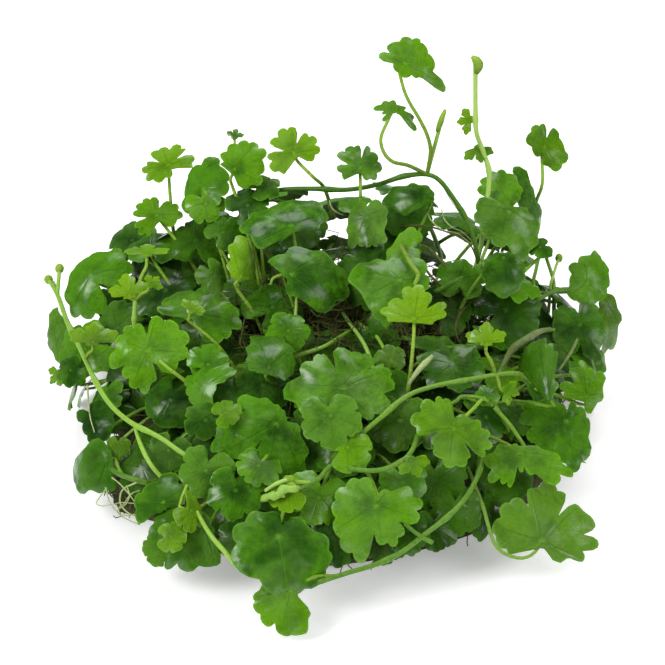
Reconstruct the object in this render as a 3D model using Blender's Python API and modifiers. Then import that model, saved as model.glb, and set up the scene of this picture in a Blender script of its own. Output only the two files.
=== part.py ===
"""A clump of pennywort lying on a surface: a low mat of roots, creeping stems, lobed leaves on thin stalks.

Lengths are in millimetres until a mesh is written. The floor is z = 0, the mat's centre is the origin, and
-Y is the front. A leaf's place is given as seen from the front, 35 degrees above the floor: how far across
and how far up the picture plane its stalk joins it, both from the mat's centre, and how far it is lifted
off the leaf canopy there.
"""

import math
from collections import namedtuple

import bmesh
import bpy
from mathutils import Matrix, Vector, noise
from mathutils.bvhtree import BVHTree

# Driving sizes, in millimetres
MM = 0.001
MAT_RADIUS = 43.0
MAT_HEIGHT = 15.0
MAT_LUMP = 1.6
CANOPY_RADIUS = 66.0
CANOPY_HEIGHT = 32.0
CANOPY_POWER = 2.2
CANOPY_BACK_SLOPE = 0.2
STALK_RADIUS = 0.42
STEM_RADIUS = 0.55
BUD_RADIUS = 0.95
BLADE_THICKNESS = 0.5
CLEARANCE = 0.2
FLOOR_CLEARANCE = 0.25
NECK_LENGTH = 2.2
NECK_SHARE = 0.35
NECK_BEHIND = 0.8
NECK_BELOW = 0.6
STALK_ARCH = 0.12
STALK_STEPS = 4
SHORT_STALK_STEPS = 3
ROUTED_STALK_STEPS = 7
STEM_STEPS = 10
STEM_END_SHARE = 4
FOOT_SHARE = 0.62
FOOT_RADIUS = 35.0
FOOT_SWINGS = (0, 14, -14, 28, -28, 45, -45, 65, -65)
STALK_SHIFTS = (0, 0.9, -0.9, 1.8, -1.8, 3.0, -3.0)
SLIDE_STEP = 0.8
SLIDE_COUNT = 21

# The turned section of the mat: shares of its radius and height, from the top's middle to the floor
MAT_SECTION = ((0, 1.0), (0.35, 1.0), (0.66, 0.97), (0.86, 0.82), (0.97, 0.52), (1.0, 0.2), (0.97, 0))
MAT_SIDES = 36
MAT_WAVINESS = 0.09
TUFT_DIRECTION = 208
TUFT_WIDTH = 9
TUFT_REACH = 6

# The line of sight that the places are measured along
SIGHT_ELEVATION = math.radians(35)
SIGHT_DISTANCE = 600.0
SIGHT_UP = 21.0
ACROSS = Vector((1, 0, 0))
UP_THE_VIEW = Vector((0, math.sin(SIGHT_ELEVATION), math.cos(SIGHT_ELEVATION)))
TO_THE_EYE = Vector((0, -math.cos(SIGHT_ELEVATION), math.sin(SIGHT_ELEVATION)))
EYE = UP_THE_VIEW * SIGHT_UP + TO_THE_EYE * SIGHT_DISTANCE
SIGHT_PASSES = 60
SIGHT_EASE = 0.35

# Leaf shapes: where the lobes point, how deep the cuts between them are, and how the blade bends
Style = namedtuple("Style", "lobes corners cut droop fold colour")
FIVE = (-124, -62, 0, 62, 124)
THREE = (-94, 0, 94)
FAN = (-62, 0, 62)
NARROW_LOBE = (-0.45, 0.45)
WIDE_LOBE = (-0.74, -0.26, 0.26, 0.74)
STYLES = {
    "three": Style(THREE, WIDE_LOBE, 0.66, 0.06, 0.00, "leaf_young"),
    "fan": Style(FAN, NARROW_LOBE, 0.50, 0.06, 0.00, "leaf_young"),
    "bright": Style(FIVE, NARROW_LOBE, 0.22, 0.14, 0.00, "leaf_young"),
    "hood": Style(FIVE, NARROW_LOBE, 0.16, 0.25, 0.35, "leaf_young"),
    "cut": Style(FIVE, NARROW_LOBE, 0.42, 0.10, 0.00, "leaf_grown"),
    "mid": Style(FIVE, NARROW_LOBE, 0.28, 0.16, 0.00, "leaf_grown"),
    "broad": Style(FIVE, NARROW_LOBE, 0.10, 0.14, 0.00, "leaf_grown"),
    "arched": Style(FIVE, NARROW_LOBE, 0.26, 0.55, 0.00, "leaf_grown"),
    "round": Style(FIVE, NARROW_LOBE, 0.12, 0.32, 0.00, "leaf_old"),
    "dome": Style(FIVE, NARROW_LOBE, 0.12, 0.32, 0.00, "leaf_grown"),
    "dark": Style(FIVE, NARROW_LOBE, 0.18, 0.20, 0.00, "leaf_old"),
    "grey": Style(FIVE, NARROW_LOBE, 0.24, 0.16, 0.00, "leaf_pale"),
    "folded": Style(FIVE, NARROW_LOBE, 0.20, 0.10, 0.70, "leaf_pale"),
}
BASE_NOTCH_REACH = 0.18
BASE_NOTCH_ANGLE = 168
FAN_EDGE_ANGLE = 110
FAN_EDGE_REACH = 0.29
MIDDLE_RING = 0.55
LOBE_ROUNDNESS = 2.4
MIN_REACH = 1.8 * STALK_RADIUS
SHALLOW_NOTCH = 0.73
BEND_PASSES = 5

# One row a leaf: its name, its place across, up and lifted, the blade's radius, the way its middle lobe
# points, its turn to the right, how far it tips back, and its style
Leaf = namedtuple("Leaf", "name across up lift radius heading turn tip style")
LEAVES = (
    Leaf("leaf_top_bright", -7.7, 56.9, 12, 5.8, 121, 0, 15, "three"),
    Leaf("leaf_top_left", -32.9, 54.5, 12, 5.6, 100, 0, 30, "three"),
    Leaf("leaf_top_low", -35.2, 44.4, 8, 5.3, 143, 0, 20, "three"),
    Leaf("leaf_top_crenate", -19.8, 53.5, 12, 7.4, 50, 0, 20, "bright"),
    Leaf("leaf_top_sheen", -25.6, 49.8, 8, 7.2, 120, -25, 20, "mid"),
    Leaf("leaf_top_middle", 5.5, 53.9, 12, 5.5, 100, 5, 20, "cut"),
    Leaf("leaf_top_creased", 18.7, 48.2, 10, 7.0, 186, 0, 20, "round"),
    Leaf("leaf_top_wet", 6.8, 44.0, 3, 5.8, 270, -15, 20, "grey"),
    Leaf("leaf_top_right", 42.4, 58.1, 18, 5.5, 85, 10, 10, "bright"),
    Leaf("leaf_top_shelf", 35.2, 46.9, 12, 7.4, 110, 0, 15, "mid"),
    Leaf("leaf_top_long", 39.8, 47.4, 8, 7.0, 110, 50, 15, "dark"),
    Leaf("leaf_shoulder_grey", 35.2, 45.4, 7, 8.8, 280, 10, 15, "grey"),
    Leaf("leaf_shoulder_round", 34.2, 36.2, 3, 6.4, 270, 5, 15, "dome"),
    Leaf("leaf_crown_kidney", -8.1, 42.2, 6, 9.2, 110, 0, 38, "broad"),
    Leaf("leaf_crown_dome", -8.4, 32.6, 5, 9.6, 345, 0, 25, "dome"),
    Leaf("leaf_crown_rolled", -18.5, 31.9, 5, 7.2, 90, 30, 15, "folded"),
    Leaf("leaf_crown_hood", 14.4, 37.6, 10, 6.8, 240, 0, 15, "hood"),
    Leaf("leaf_crown_shade", 13.6, 31.4, 3, 8.5, 215, 0, 30, "mid"),
    Leaf("leaf_crown_bright", 16.3, 23.6, 9, 6.6, 90, 0, 20, "fan"),
    Leaf("leaf_left_arch", -48.4, 32.4, 3, 8.4, 135, -20, 25, "dome"),
    Leaf("leaf_left_edge", -55.2, 20.4, 0, 6.0, 120, -40, 10, "grey"),
    Leaf("leaf_left_lobed", -49.4, 17.8, 1, 7.0, 205, -25, 20, "mid"),
    Leaf("leaf_left_large", -36.9, 17.4, 5, 8.0, 145, -8, 15, "cut"),
    Leaf("leaf_left_wide", -27.0, 24.6, 2, 8.0, 75, 0, 32, "mid"),
    Leaf("leaf_left_inner", -25.6, 10.4, 1, 5.4, 240, -25, 20, "mid"),
    Leaf("leaf_left_dark", -47.1, 3.0, 0, 4.6, 150, -20, 20, "dark"),
    Leaf("leaf_left_round", -45.0, -4.4, 1, 7.2, 205, -15, 12, "round"),
    Leaf("leaf_left_glossy", -25.4, -6.6, 2, 5.6, 250, 0, 15, "grey"),
    Leaf("leaf_left_curled", -33.8, -13.0, 3, 5.8, 130, -10, 20, "bright"),
    Leaf("leaf_left_bottom", -25.7, -17.2, 1, 9.0, 220, -8, 12, "dark"),
    Leaf("leaf_centre_round", -12.8, 13.8, 4, 7.0, 80, 8, 22, "dome"),
    Leaf("leaf_centre_large", 2.2, 9.8, 4, 9.5, 110, 0, 30, "mid"),
    Leaf("leaf_centre_wide", -11.1, 2.8, 1, 9.6, 235, 0, 20, "mid"),
    Leaf("leaf_centre_shade", -0.4, 4.4, -2, 6.2, 280, 0, 25, "grey"),
    Leaf("leaf_centre_low", -19.4, -10.6, 2, 6.0, 260, -5, 15, "mid"),
    Leaf("leaf_front_large", -10.8, -19.6, 4, 9.6, 275, 0, 12, "broad"),
    Leaf("leaf_front_bright", 8.7, -13.6, 4, 9.0, 240, 0, 15, "bright"),
    Leaf("leaf_right_cut", 24.2, 1.9, 7, 8.0, 235, 0, 15, "three"),
    Leaf("leaf_right_arch", 37.4, -3.0, 5, 8.6, 290, 0, 20, "bright"),
    Leaf("leaf_right_large", 46.8, 3.4, 3, 8.6, 215, 20, 15, "mid"),
    Leaf("leaf_right_floor", 41.8, -20.8, 3, 10.2, 75, 5, 10, "grey"),
    Leaf("leaf_right_deep", 30.4, -15.0, -2, 5.6, 270, 45, 10, "dark"),
    Leaf("leaf_right_young", 50.7, 8.3, 3, 6.0, 100, 10, 20, "three"),
    Leaf("leaf_right_folded", 43.2, 8.0, 3, 9.0, 97, -20, 15, "folded"),
    Leaf("leaf_right_dark", 49.4, 22.6, 0, 7.6, 170, 5, 20, "dark"),
    Leaf("leaf_right_top", 50.9, 31.0, 6, 6.4, 110, 15, 15, "mid"),
    Leaf("leaf_right_hanging", 54.7, 27.0, 2, 7.6, 275, 25, 10, "grey"),
    Leaf("leaf_right_shelf", 24.0, 14.6, 0, 6.5, 290, 0, 38, "mid"),
)

# Outlines of the leaves that show best, as seen from the front. Each starts at a notch and goes round: the
# notch's direction and reach, then the next tip's, and so on
OUTLINES = {
    "leaf_top_left": (
        -50, 1.0, -8, 5.0, 5, 4.8, 17, 5.5, 38, 1.2, 47, 5.0, 56, 4.5, 66, 5.2, 87, 3.4, 107, 4.3,
        122, 3.9, 143, 4.3, 163, 1.1, 175, 4.3, 184, 4.2, 193, 5.4, 203, 4.4, 213, 5.2, 224, 4.1,
        236, 4.1, 260, 2.6, 278, 2.6,
    ),
    "leaf_top_bright": (
        -40, 1.0, -17, 4.2, -6, 4.2, 7, 5.3, 20, 4.5, 36, 5.4, 48, 4.4, 60, 4.7, 74, 1.3, 93, 5.5,
        106, 4.9, 119, 5.7, 134, 4.6, 151, 5.5, 168, 1.2, 186, 5.4, 200, 4.6, 216, 5.8, 232, 4.8,
        247, 4.8,
    ),
    "leaf_top_low": (
        -60, 1.2, -25, 4.2, -12, 4.3, 2, 5.3, 15, 4.4, 28, 4.8, 39, 3.5, 50, 3.8, 72, 1.3, 100, 3.9,
        112, 3.6, 124, 4.4, 138, 3.9, 154, 4.6, 164, 4.0, 176, 4.8, 192, 1.4, 207, 4.9, 216, 4.2,
        226, 5.0, 238, 4.0, 251, 4.2,
    ),
    "leaf_top_crenate": (
        -85, 1.2, -52, 4.4, -38, 4.6, -24, 6.2, -10, 5.4, 5, 6.2, 18, 6.0, 31, 7.4, 41, 6.5, 51, 7.1,
        61, 6.2, 72, 6.5, 83, 5.5, 95, 5.8, 109, 4.3, 123, 4.4, 140, 2.6, 158, 2.9,
    ),
    "leaf_top_sheen": (
        -60, 4.4, -47, 4.6, -28, 3.7, -4, 5.0, 16, 4.7, 40, 5.6, 58, 5.5, 74, 6.8, 97, 4.7, 122, 4.9,
        150, 4.1, 180, 4.3, 200, 4.5, 222, 6.1, 240, 5.8, 256, 6.6, 266, 6.4, 282, 7.5,
    ),
    "leaf_top_middle": (
        -80, 0.9, -58, 2.9, -46, 2.9, -33, 3.9, -17, 3.5, 3, 4.4, 20, 3.7, 40, 4.2, 57, 3.9, 72, 4.9,
        82, 1.3, 93, 5.0, 103, 4.7, 114, 5.5, 128, 4.6, 145, 5.4, 163, 2.2, 182, 4.7, 198, 3.8, 218, 4.0,
    ),
    "leaf_top_right": (
        -104, 1.2, -88, 3.8, -75, 4.5, -62, 5.6, -45, 5.0, -28, 5.4, -10, 4.4, 9, 4.1, 32, 3.8, 60, 4.6,
        76, 1.3, 92, 4.8, 103, 4.4, 115, 4.9, 131, 4.1, 150, 4.2, 180, 2.6, 222, 2.6,
    ),
    "leaf_top_shelf": (
        -60, 1.2, 20, 2.6, 35, 3.2, 52, 4.2, 67, 5.0, 82, 6.4, 91, 6.3, 100, 7.4, 108, 6.9, 117, 7.6,
        126, 6.9, 136, 7.4, 145, 6.4, 154, 6.8, 166, 4.6, 180, 3.4, 200, 1.8, 218, 1.6,
    ),
    "leaf_shoulder_grey": (
        60, 1.0, 105, 1.7, 130, 1.9, 168, 6.6, 180, 6.2, 192, 7.0, 205, 6.4, 222, 7.0, 237, 6.6, 253, 7.7,
        267, 7.0, 286, 10.6, 296, 9.2, 309, 9.0, 321, 7.5, 336, 7.2, 350, 5.0, 370, 3.8,
    ),
    "leaf_crown_kidney": (
        -60, 1.2, -5, 5.4, 6, 5.8, 20, 7.4, 31, 7.0, 42, 7.2, 60, 6.1, 79, 5.8, 99, 5.5, 121, 6.2,
        138, 6.6, 155, 8.4, 168, 8.8, 181, 10.5, 194, 8.6, 209, 8.4, 223, 4.8, 236, 3.4,
    ),
    "leaf_crown_dome": (
        -120, 1.2, -85, 4.2, -62, 6.0, -40, 10.4, -30, 10.2, -18, 12.0, -8, 11.2, 3, 11.6, 16, 9.2,
        30, 8.4, 48, 6.5, 72, 5.8, 105, 4.2, 150, 5.2,
    ),
    "leaf_crown_rolled": (
        -30, 1.2, 10, 2.6, 28, 3.0, 46, 3.9, 57, 4.8, 68, 6.3, 78, 7.1, 90, 8.4, 99, 7.6, 108, 6.9,
        118, 5.1, 130, 3.8, 152, 2.7, 182, 2.0,
    ),
    "leaf_crown_bright": (
        -60, 0.8, -14, 3.6, 0, 4.4, 12, 6.3, 19, 5.9, 27, 6.9, 40, 2.9, 56, 5.6, 67, 5.4, 80, 6.7,
        92, 5.9, 103, 6.6, 118, 4.2, 138, 6.0, 150, 5.5, 162, 6.6, 173, 5.2, 184, 5.0,
    ),
    "leaf_left_arch": (
        -45, 1.3, -10, 7.2, 0, 7.3, 10, 8.7, 24, 7.6, 40, 8.1, 54, 6.1, 70, 5.3, 100, 4.0, 130, 3.8,
        160, 3.9, 190, 4.8, 206, 5.6, 222, 7.2, 233, 7.4, 244, 9.0, 256, 8.2, 268, 8.8, 278, 7.7,
        290, 8.0,
    ),
    "leaf_left_large": (
        -66, 1.8, -34, 6.7, -20, 6.4, -5, 7.9, 7, 7.1, 20, 8.3, 36, 7.1, 54, 7.6, 65, 6.5, 78, 7.0,
        95, 2.4, 113, 5.6, 124, 5.2, 136, 6.3, 147, 5.6, 160, 6.7, 176, 6.2, 202, 8.1, 211, 5.2, 227, 6.9,
        236, 6.4, 246, 7.8, 255, 7.1, 264, 8.1, 274, 6.6, 284, 6.0,
    ),
    "leaf_front_large": (
        70, 1.3, 110, 4.6, 128, 5.4, 146, 6.7, 158, 6.6, 174, 8.5, 191, 7.8, 213, 9.8, 246, 8.7,
        280, 11.1, 297, 10.5, 315, 11.3, 325, 10.6, 336, 10.7, 343, 9.6, 351, 9.4, 366, 6.6, 388, 5.4,
    ),
    "leaf_front_bright": (
        85, 1.2, 114, 5.6, 123, 5.6, 135, 6.7, 149, 6.5, 163, 7.8, 173, 7.4, 183, 8.2, 198, 7.8, 212, 9.0,
        222, 8.8, 233, 10.0, 243, 9.4, 254, 10.6, 266, 5.0, 280, 7.2, 287, 7.0, 295, 8.2, 304, 7.1,
        313, 7.4, 325, 5.2, 342, 8.4, 352, 7.5, 363, 8.7, 373, 7.0, 385, 7.2, 398, 4.4, 410, 3.6,
    ),
    "leaf_right_cut": (
        84, 1.4, 104, 5.6, 110, 5.5, 117, 6.4, 126, 5.6, 139, 7.5, 153, 6.6, 168, 8.2, 179, 6.8, 188, 6.9,
        197, 2.8, 214, 4.9, 223, 4.9, 236, 6.1, 250, 6.0, 263, 7.3, 273, 6.8, 285, 7.3, 294, 6.2,
        299, 6.2, 307, 2.9, 317, 7.8, 324, 7.0, 333, 8.0, 342, 6.6, 350, 6.9, 360, 5.1, 372, 5.2,
        384, 3.6, 398, 3.4,
    ),
    "leaf_right_arch": (
        90, 1.2, 135, 2.0, 150, 2.6, 166, 4.4, 180, 5.0, 195, 6.8, 210, 6.0, 223, 7.8, 232, 5.8, 240, 6.6,
        246, 5.8, 253, 6.6, 262, 2.4, 275, 3.7, 286, 2.7, 298, 4.8, 306, 5.0, 322, 9.4, 330, 8.6,
        337, 11.0, 345, 8.4, 353, 7.8, 366, 4.8, 380, 3.8,
    ),
    "leaf_right_large": (
        85, 1.2, 108, 3.4, 122, 4.3, 137, 6.1, 146, 6.5, 157, 8.9, 166, 8.0, 176, 9.1, 188, 6.4, 204, 7.8,
        216, 7.1, 230, 8.1, 243, 7.3, 257, 8.2, 266, 8.5, 276, 10.2, 286, 8.7, 299, 8.5, 325, 5.5,
        353, 5.0, 370, 4.1, 388, 4.2, 410, 3.3, 430, 3.8,
    ),
    "leaf_right_floor": (
        -70, 1.2, -38, 5.6, -31, 6.2, -24, 8.8, -14, 8.0, -4, 10.8, 8, 8.1, 17, 10.8, 30, 10.2, 42, 9.8,
        55, 5.8, 62, 10.4, 69, 10.2, 78, 11.8, 89, 10.3, 100, 10.0, 110, 6.8, 122, 9.4, 130, 9.2,
        138, 9.9, 150, 8.7, 163, 9.6, 173, 8.5, 183, 8.4, 192, 6.6, 202, 6.6,
    ),
    "leaf_top_creased": (
        -70, 1.2, -36, 1.8, 0, 1.6, 30, 1.8, 60, 1.8, 100, 2.4, 122, 2.9, 144, 4.2, 156, 5.4, 167, 7.0,
        176, 7.6, 186, 8.7, 193, 7.9, 200, 7.7, 209, 6.3, 218, 5.9, 227, 4.0, 238, 3.1,
    ),
    "leaf_left_edge": (
        -20, 2.0, 30, 3.0, 62, 3.6, 98, 6.1, 125, 3.0, 150, 2.2, 200, 2.0, 245, 3.2, 260, 3.8, 278, 5.6,
        290, 5.4, 306, 7.6,
    ),
    "leaf_left_dark": (
        -30, 3.2, -2, 3.5, 20, 3.3, 45, 4.5, 75, 3.4, 103, 4.6, 130, 2.6, 157, 4.4, 185, 2.8, 212, 3.3,
        232, 3.2, 255, 4.2, 275, 3.4, 301, 3.8,
    ),
    "leaf_left_round": (
        20, 1.0, 70, 1.9, 100, 3.2, 146, 4.9, 165, 5.5, 205, 8.7, 213, 8.4, 222, 8.8, 238, 6.8, 253, 6.7,
        265, 5.8, 279, 6.1, 292, 3.4, 304, 2.5,
    ),
    "leaf_left_curled": (
        -60, 1.2, -5, 4.0, 12, 4.1, 32, 5.0, 55, 4.4, 84, 6.1, 108, 4.2, 140, 4.4, 158, 4.3, 176, 5.5,
        195, 5.3, 214, 6.2, 228, 3.0, 252, 2.0,
    ),
    "leaf_left_bottom": (
        -20, 1.4, 40, 1.6, 90, 2.0, 139, 4.5, 155, 6.2, 170, 9.4, 181, 9.4, 192, 11.0, 203, 10.6,
        214, 12.4, 221, 9.4, 229, 11.2, 236, 9.0, 244, 9.6, 262, 7.8, 287, 8.0, 303, 4.2, 325, 2.4,
    ),
    "leaf_right_top": (
        -60, 4.4, -38, 4.8, -15, 4.4, 12, 5.1, 24, 5.2, 36, 5.9, 54, 5.8, 70, 6.7, 84, 5.4, 98, 5.4,
        114, 4.4, 130, 5.0, 150, 3.5, 180, 3.6, 198, 4.1, 218, 4.8, 240, 4.4, 270, 4.7,
    ),
    "leaf_right_hanging": (
        160, 1.2, 200, 1.6, 235, 3.0, 258, 7.6, 264, 8.3, 270, 11.0, 277, 9.3, 284, 9.6, 293, 7.2,
        304, 5.2, 335, 2.8, 375, 2.2, 420, 2.0, 486, 2.8,
    ),
    "leaf_right_young": (
        -110, 1.2, -74, 3.5, -30, 2.6, 6, 3.5, 30, 4.0, 58, 5.7, 67, 3.2, 76, 5.6, 84, 5.5, 94, 7.2,
        102, 5.8, 110, 6.2, 130, 3.2, 155, 5.5, 169, 4.3, 184, 4.5,
    ),
    "leaf_crown_hood": (
        -70, 2.4, -33, 3.5, -24, 3.2, -12, 3.2, 13, 1.6, 45, 4.5, 56, 4.3, 68, 4.6, 88, 3.7, 105, 3.3,
        165, 2.5, 202, 3.7, 214, 5.2, 226, 7.4, 233, 6.6, 240, 6.0, 249, 5.5, 260, 5.7, 269, 5.2,
        278, 4.5,
    ),
    "leaf_crown_shade": (
        -60, 4.2, -14, 5.7, -6, 5.4, 2, 5.7, 14, 4.9, 40, 5.8, 75, 4.0, 110, 4.6, 125, 5.2, 141, 7.0,
        147, 7.4, 156, 9.0, 161, 9.3, 169, 10.0, 190, 8.8, 207, 8.0, 226, 8.0, 236, 8.7, 243, 8.5,
        250, 9.0, 262, 4.6, 285, 4.4,
    ),
    "leaf_top_wet": (
        85, 2.2, 115, 3.4, 130, 3.2, 149, 3.5, 168, 3.4, 191, 3.8, 204, 4.2, 218, 4.9, 228, 5.6, 240, 6.6,
        252, 5.4, 262, 5.9, 267, 5.6, 273, 6.1, 282, 5.5, 288, 6.1, 296, 5.5, 305, 6.4, 320, 4.6,
        340, 4.0, 364, 3.8, 388, 4.4, 400, 4.0, 412, 4.2,
    ),
    "leaf_centre_round": (
        -112, 1.1, -46, 2.4, -40, 3.4, -30, 4.0, -20, 4.3, -8, 4.8, 4, 4.7, 17, 5.1, 30, 5.2, 42, 6.0,
        58, 5.9, 72, 6.9, 80, 7.6, 92, 8.9, 102, 8.1, 112, 7.7, 121, 6.6, 132, 5.9, 143, 5.0, 155, 4.6,
        168, 4.0, 182, 3.8, 190, 3.1, 200, 2.4,
    ),
    "leaf_centre_large": (
        -110, 1.6, -64, 4.6, -59, 6.0, -48, 7.8, -38, 7.4, -22, 9.4, -6, 7.5, 9, 9.8, 16, 9.2, 22, 9.6,
        28, 8.6, 33, 8.8, 38, 5.4, 43, 9.1, 50, 8.1, 56, 8.6, 63, 7.7, 69, 8.0, 79, 7.3, 98, 7.7,
        113, 3.7, 121, 7.4, 124, 7.2, 129, 7.9, 140, 7.5, 153, 8.8, 164, 8.3, 177, 11.4, 193, 9.2,
        204, 9.0, 211, 8.2, 219, 8.6, 229, 5.0, 240, 3.0,
    ),
    "leaf_centre_wide": (
        10, 2.0, 60, 2.8, 78, 3.0, 95, 3.6, 105, 4.2, 120, 5.4, 132, 6.4, 148, 8.6, 160, 6.6, 171, 7.4,
        176, 9.0, 186, 11.6, 190, 11.8, 197, 13.2, 203, 12.2, 209, 12.4, 217, 10.8, 222, 9.8, 229, 4.4,
        240, 7.2, 250, 7.9, 260, 9.1, 266, 9.2, 274, 10.3, 279, 10.3, 286, 11.3, 293, 10.6, 299, 10.7,
        306, 8.8, 313, 8.2, 325, 6.4, 341, 4.6,
    ),
    "leaf_left_wide": (
        -140, 1.4, -84, 3.4, -78, 4.4, -68, 5.6, -60, 6.2, -50, 7.1, -43, 7.0, -35, 7.8, -25, 7.2,
        -12, 8.8, -4, 8.0, 6, 8.0, 14, 7.0, 24, 6.6, 40, 5.4, 56, 5.4, 72, 5.0, 88, 5.5, 98, 4.8,
        112, 5.4, 124, 5.8, 136, 6.6, 145, 6.8, 156, 7.7, 165, 7.2, 174, 8.0, 186, 5.0, 200, 2.6,
    ),
    "leaf_left_inner": (
        5, 2.4, 14, 4.2, 18, 4.6, 28, 6.4, 40, 5.8, 53, 6.2, 60, 6.0, 68, 6.7, 75, 6.2, 84, 6.4, 92, 5.9,
        100, 6.3, 108, 5.8, 118, 6.2, 140, 3.0, 165, 4.2, 185, 3.4, 203, 3.8, 215, 3.6, 230, 4.2,
        246, 4.4, 263, 5.6, 272, 5.4, 281, 6.1, 295, 4.0, 320, 2.4,
    ),
    "leaf_shoulder_round": (
        60, 0.9, 160, 2.0, 180, 2.8, 205, 4.4, 214, 4.9, 226, 5.9, 236, 6.3, 246, 7.2, 258, 7.5, 270, 8.2,
        280, 7.6, 291, 7.4, 301, 6.6, 312, 6.2, 323, 5.4, 334, 5.0, 347, 3.8, 361, 3.1, 378, 2.0,
        397, 1.5,
    ),
    "leaf_top_long": (
        0, 1.0, 80, 2.6, 95, 3.4, 117, 7.7, 126, 5.6, 134, 4.8, 165, 3.0, 206, 3.0, 228, 4.0, 248, 5.2,
        258, 5.8, 271, 6.8, 277, 7.0, 284, 7.7, 291, 6.6, 297, 6.0, 305, 4.6, 312, 3.7,
    ),
    "leaf_right_folded": (
        -90, 0.9, -20, 1.0, 30, 1.4, 62, 3.4, 72, 7.0, 76, 8.8, 80, 8.6, 84, 10.2, 90, 9.8, 97, 12.2,
        104, 11.4, 113, 12.0, 119, 9.6, 127, 9.4, 135, 5.0, 150, 1.8,
    ),
    "leaf_right_dark": (
        94, 2.1, 120, 3.9, 128, 4.3, 137, 5.3, 146, 5.2, 154, 5.8, 167, 5.2, 182, 5.4, 195, 5.3, 210, 5.9,
        221, 5.8, 231, 6.4, 241, 5.8, 251, 6.0, 272, 3.9, 284, 6.8, 288, 7.4, 297, 8.8, 307, 6.4,
        331, 6.0, 350, 5.0, 367, 5.0, 390, 4.6, 409, 5.4, 421, 5.0, 433, 5.4,
    ),
    "floor": (
        150, 0.9, 176, 5.6, 184, 6.5, 192, 7.1, 198, 6.9, 206, 7.6, 218, 7.1, 233, 7.9, 244, 6.6,
        258, 8.1, 270, 7.7, 288, 7.9, 298, 6.8, 307, 5.8, 320, 1.6, 342, 1.3,
    ),
    "top": (
        -58, 2.6, -46, 3.8, -38, 4.6, -27, 9.6, -12, 5.8, 8, 6.1, 26, 5.3, 46, 5.6, 53, 5.3, 62, 5.8,
        73, 5.3, 84, 5.7, 101, 4.8, 124, 5.2, 141, 3.7, 159, 5.4, 180, 2.2, 212, 2.4, 240, 2.1, 268, 2.8,
    ),
    "hanging": (
        80, 0.8, 118, 1.9, 134, 2.0, 152, 3.0, 162, 3.1, 176, 4.5, 192, 2.5, 202, 3.0, 211, 2.3, 226, 3.8,
        244, 0.9, 258, 1.1, 270, 0.8, 292, 1.3, 301, 1.8, 316, 5.6, 325, 4.0, 334, 4.0, 347, 1.6,
        370, 2.0,
    ),
}

# Stalks that show: points across, up and lift down from the blade, the last one where the stalk ends
STALKS = {
    "leaf_top_bright": ((-5.6, 52.0, 8), (-3.4, 49.8, 4), (-1.5, 44.0, -4)),
    "leaf_top_left": ((-32.6, 50.0, 8), (-31.8, 41.2, 0), (-30.0, 34.0, -8)),
    "leaf_top_middle": ((5.6, 48.4, 8), (5.8, 42.0, 0), (6.0, 36.0, -8)),
    "leaf_top_right": ((42.0, 51.0, 14), (40.8, 47.4, 8), (38.0, 40.0, -2)),
    "leaf_crown_bright": ((16.2, 20.0, 7), (15.6, 13.0, 4), (15.0, 9.0, 1)),
    "leaf_left_large": ((-33.0, 14.0, 3), (-28.4, 10.4, -1), (-24.0, 6.0, -8)),
    "leaf_left_round": ((-42.0, -7.4, 0), (-38.0, -9.0, -2), (-33.0, -8.0, -6)),
    "leaf_right_floor": ((39.6, -23.6, 2), (36.6, -24.0, 2), (32.6, -21.6, 2), (30.0, -13.6, 0),
                         (27.0, -6.0, -6)),
    "top": ((14.2, 69.8, 24), (15.4, 67.0, 22), (17.2, 64.0, 20), (18.8, 60.8, 18), (19.6, 57.4, 15.5),
            (19.4, 53.2, 13)),
    "hanging": ((11.0, 63.2, 18.5), (9.7, 60.0, 17), (10.2, 57.2, 15.5), (12.0, 55.2, 14.5),
                (15.2, 54.4, 13.5), (18.8, 53.0, 13)),
    "leaf_right_cut": ((28.0, 5.6, 6), (31.0, 8.0, 4), (34.0, 4.0, 0), (36.0, -1.0, -8)),
}

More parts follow.
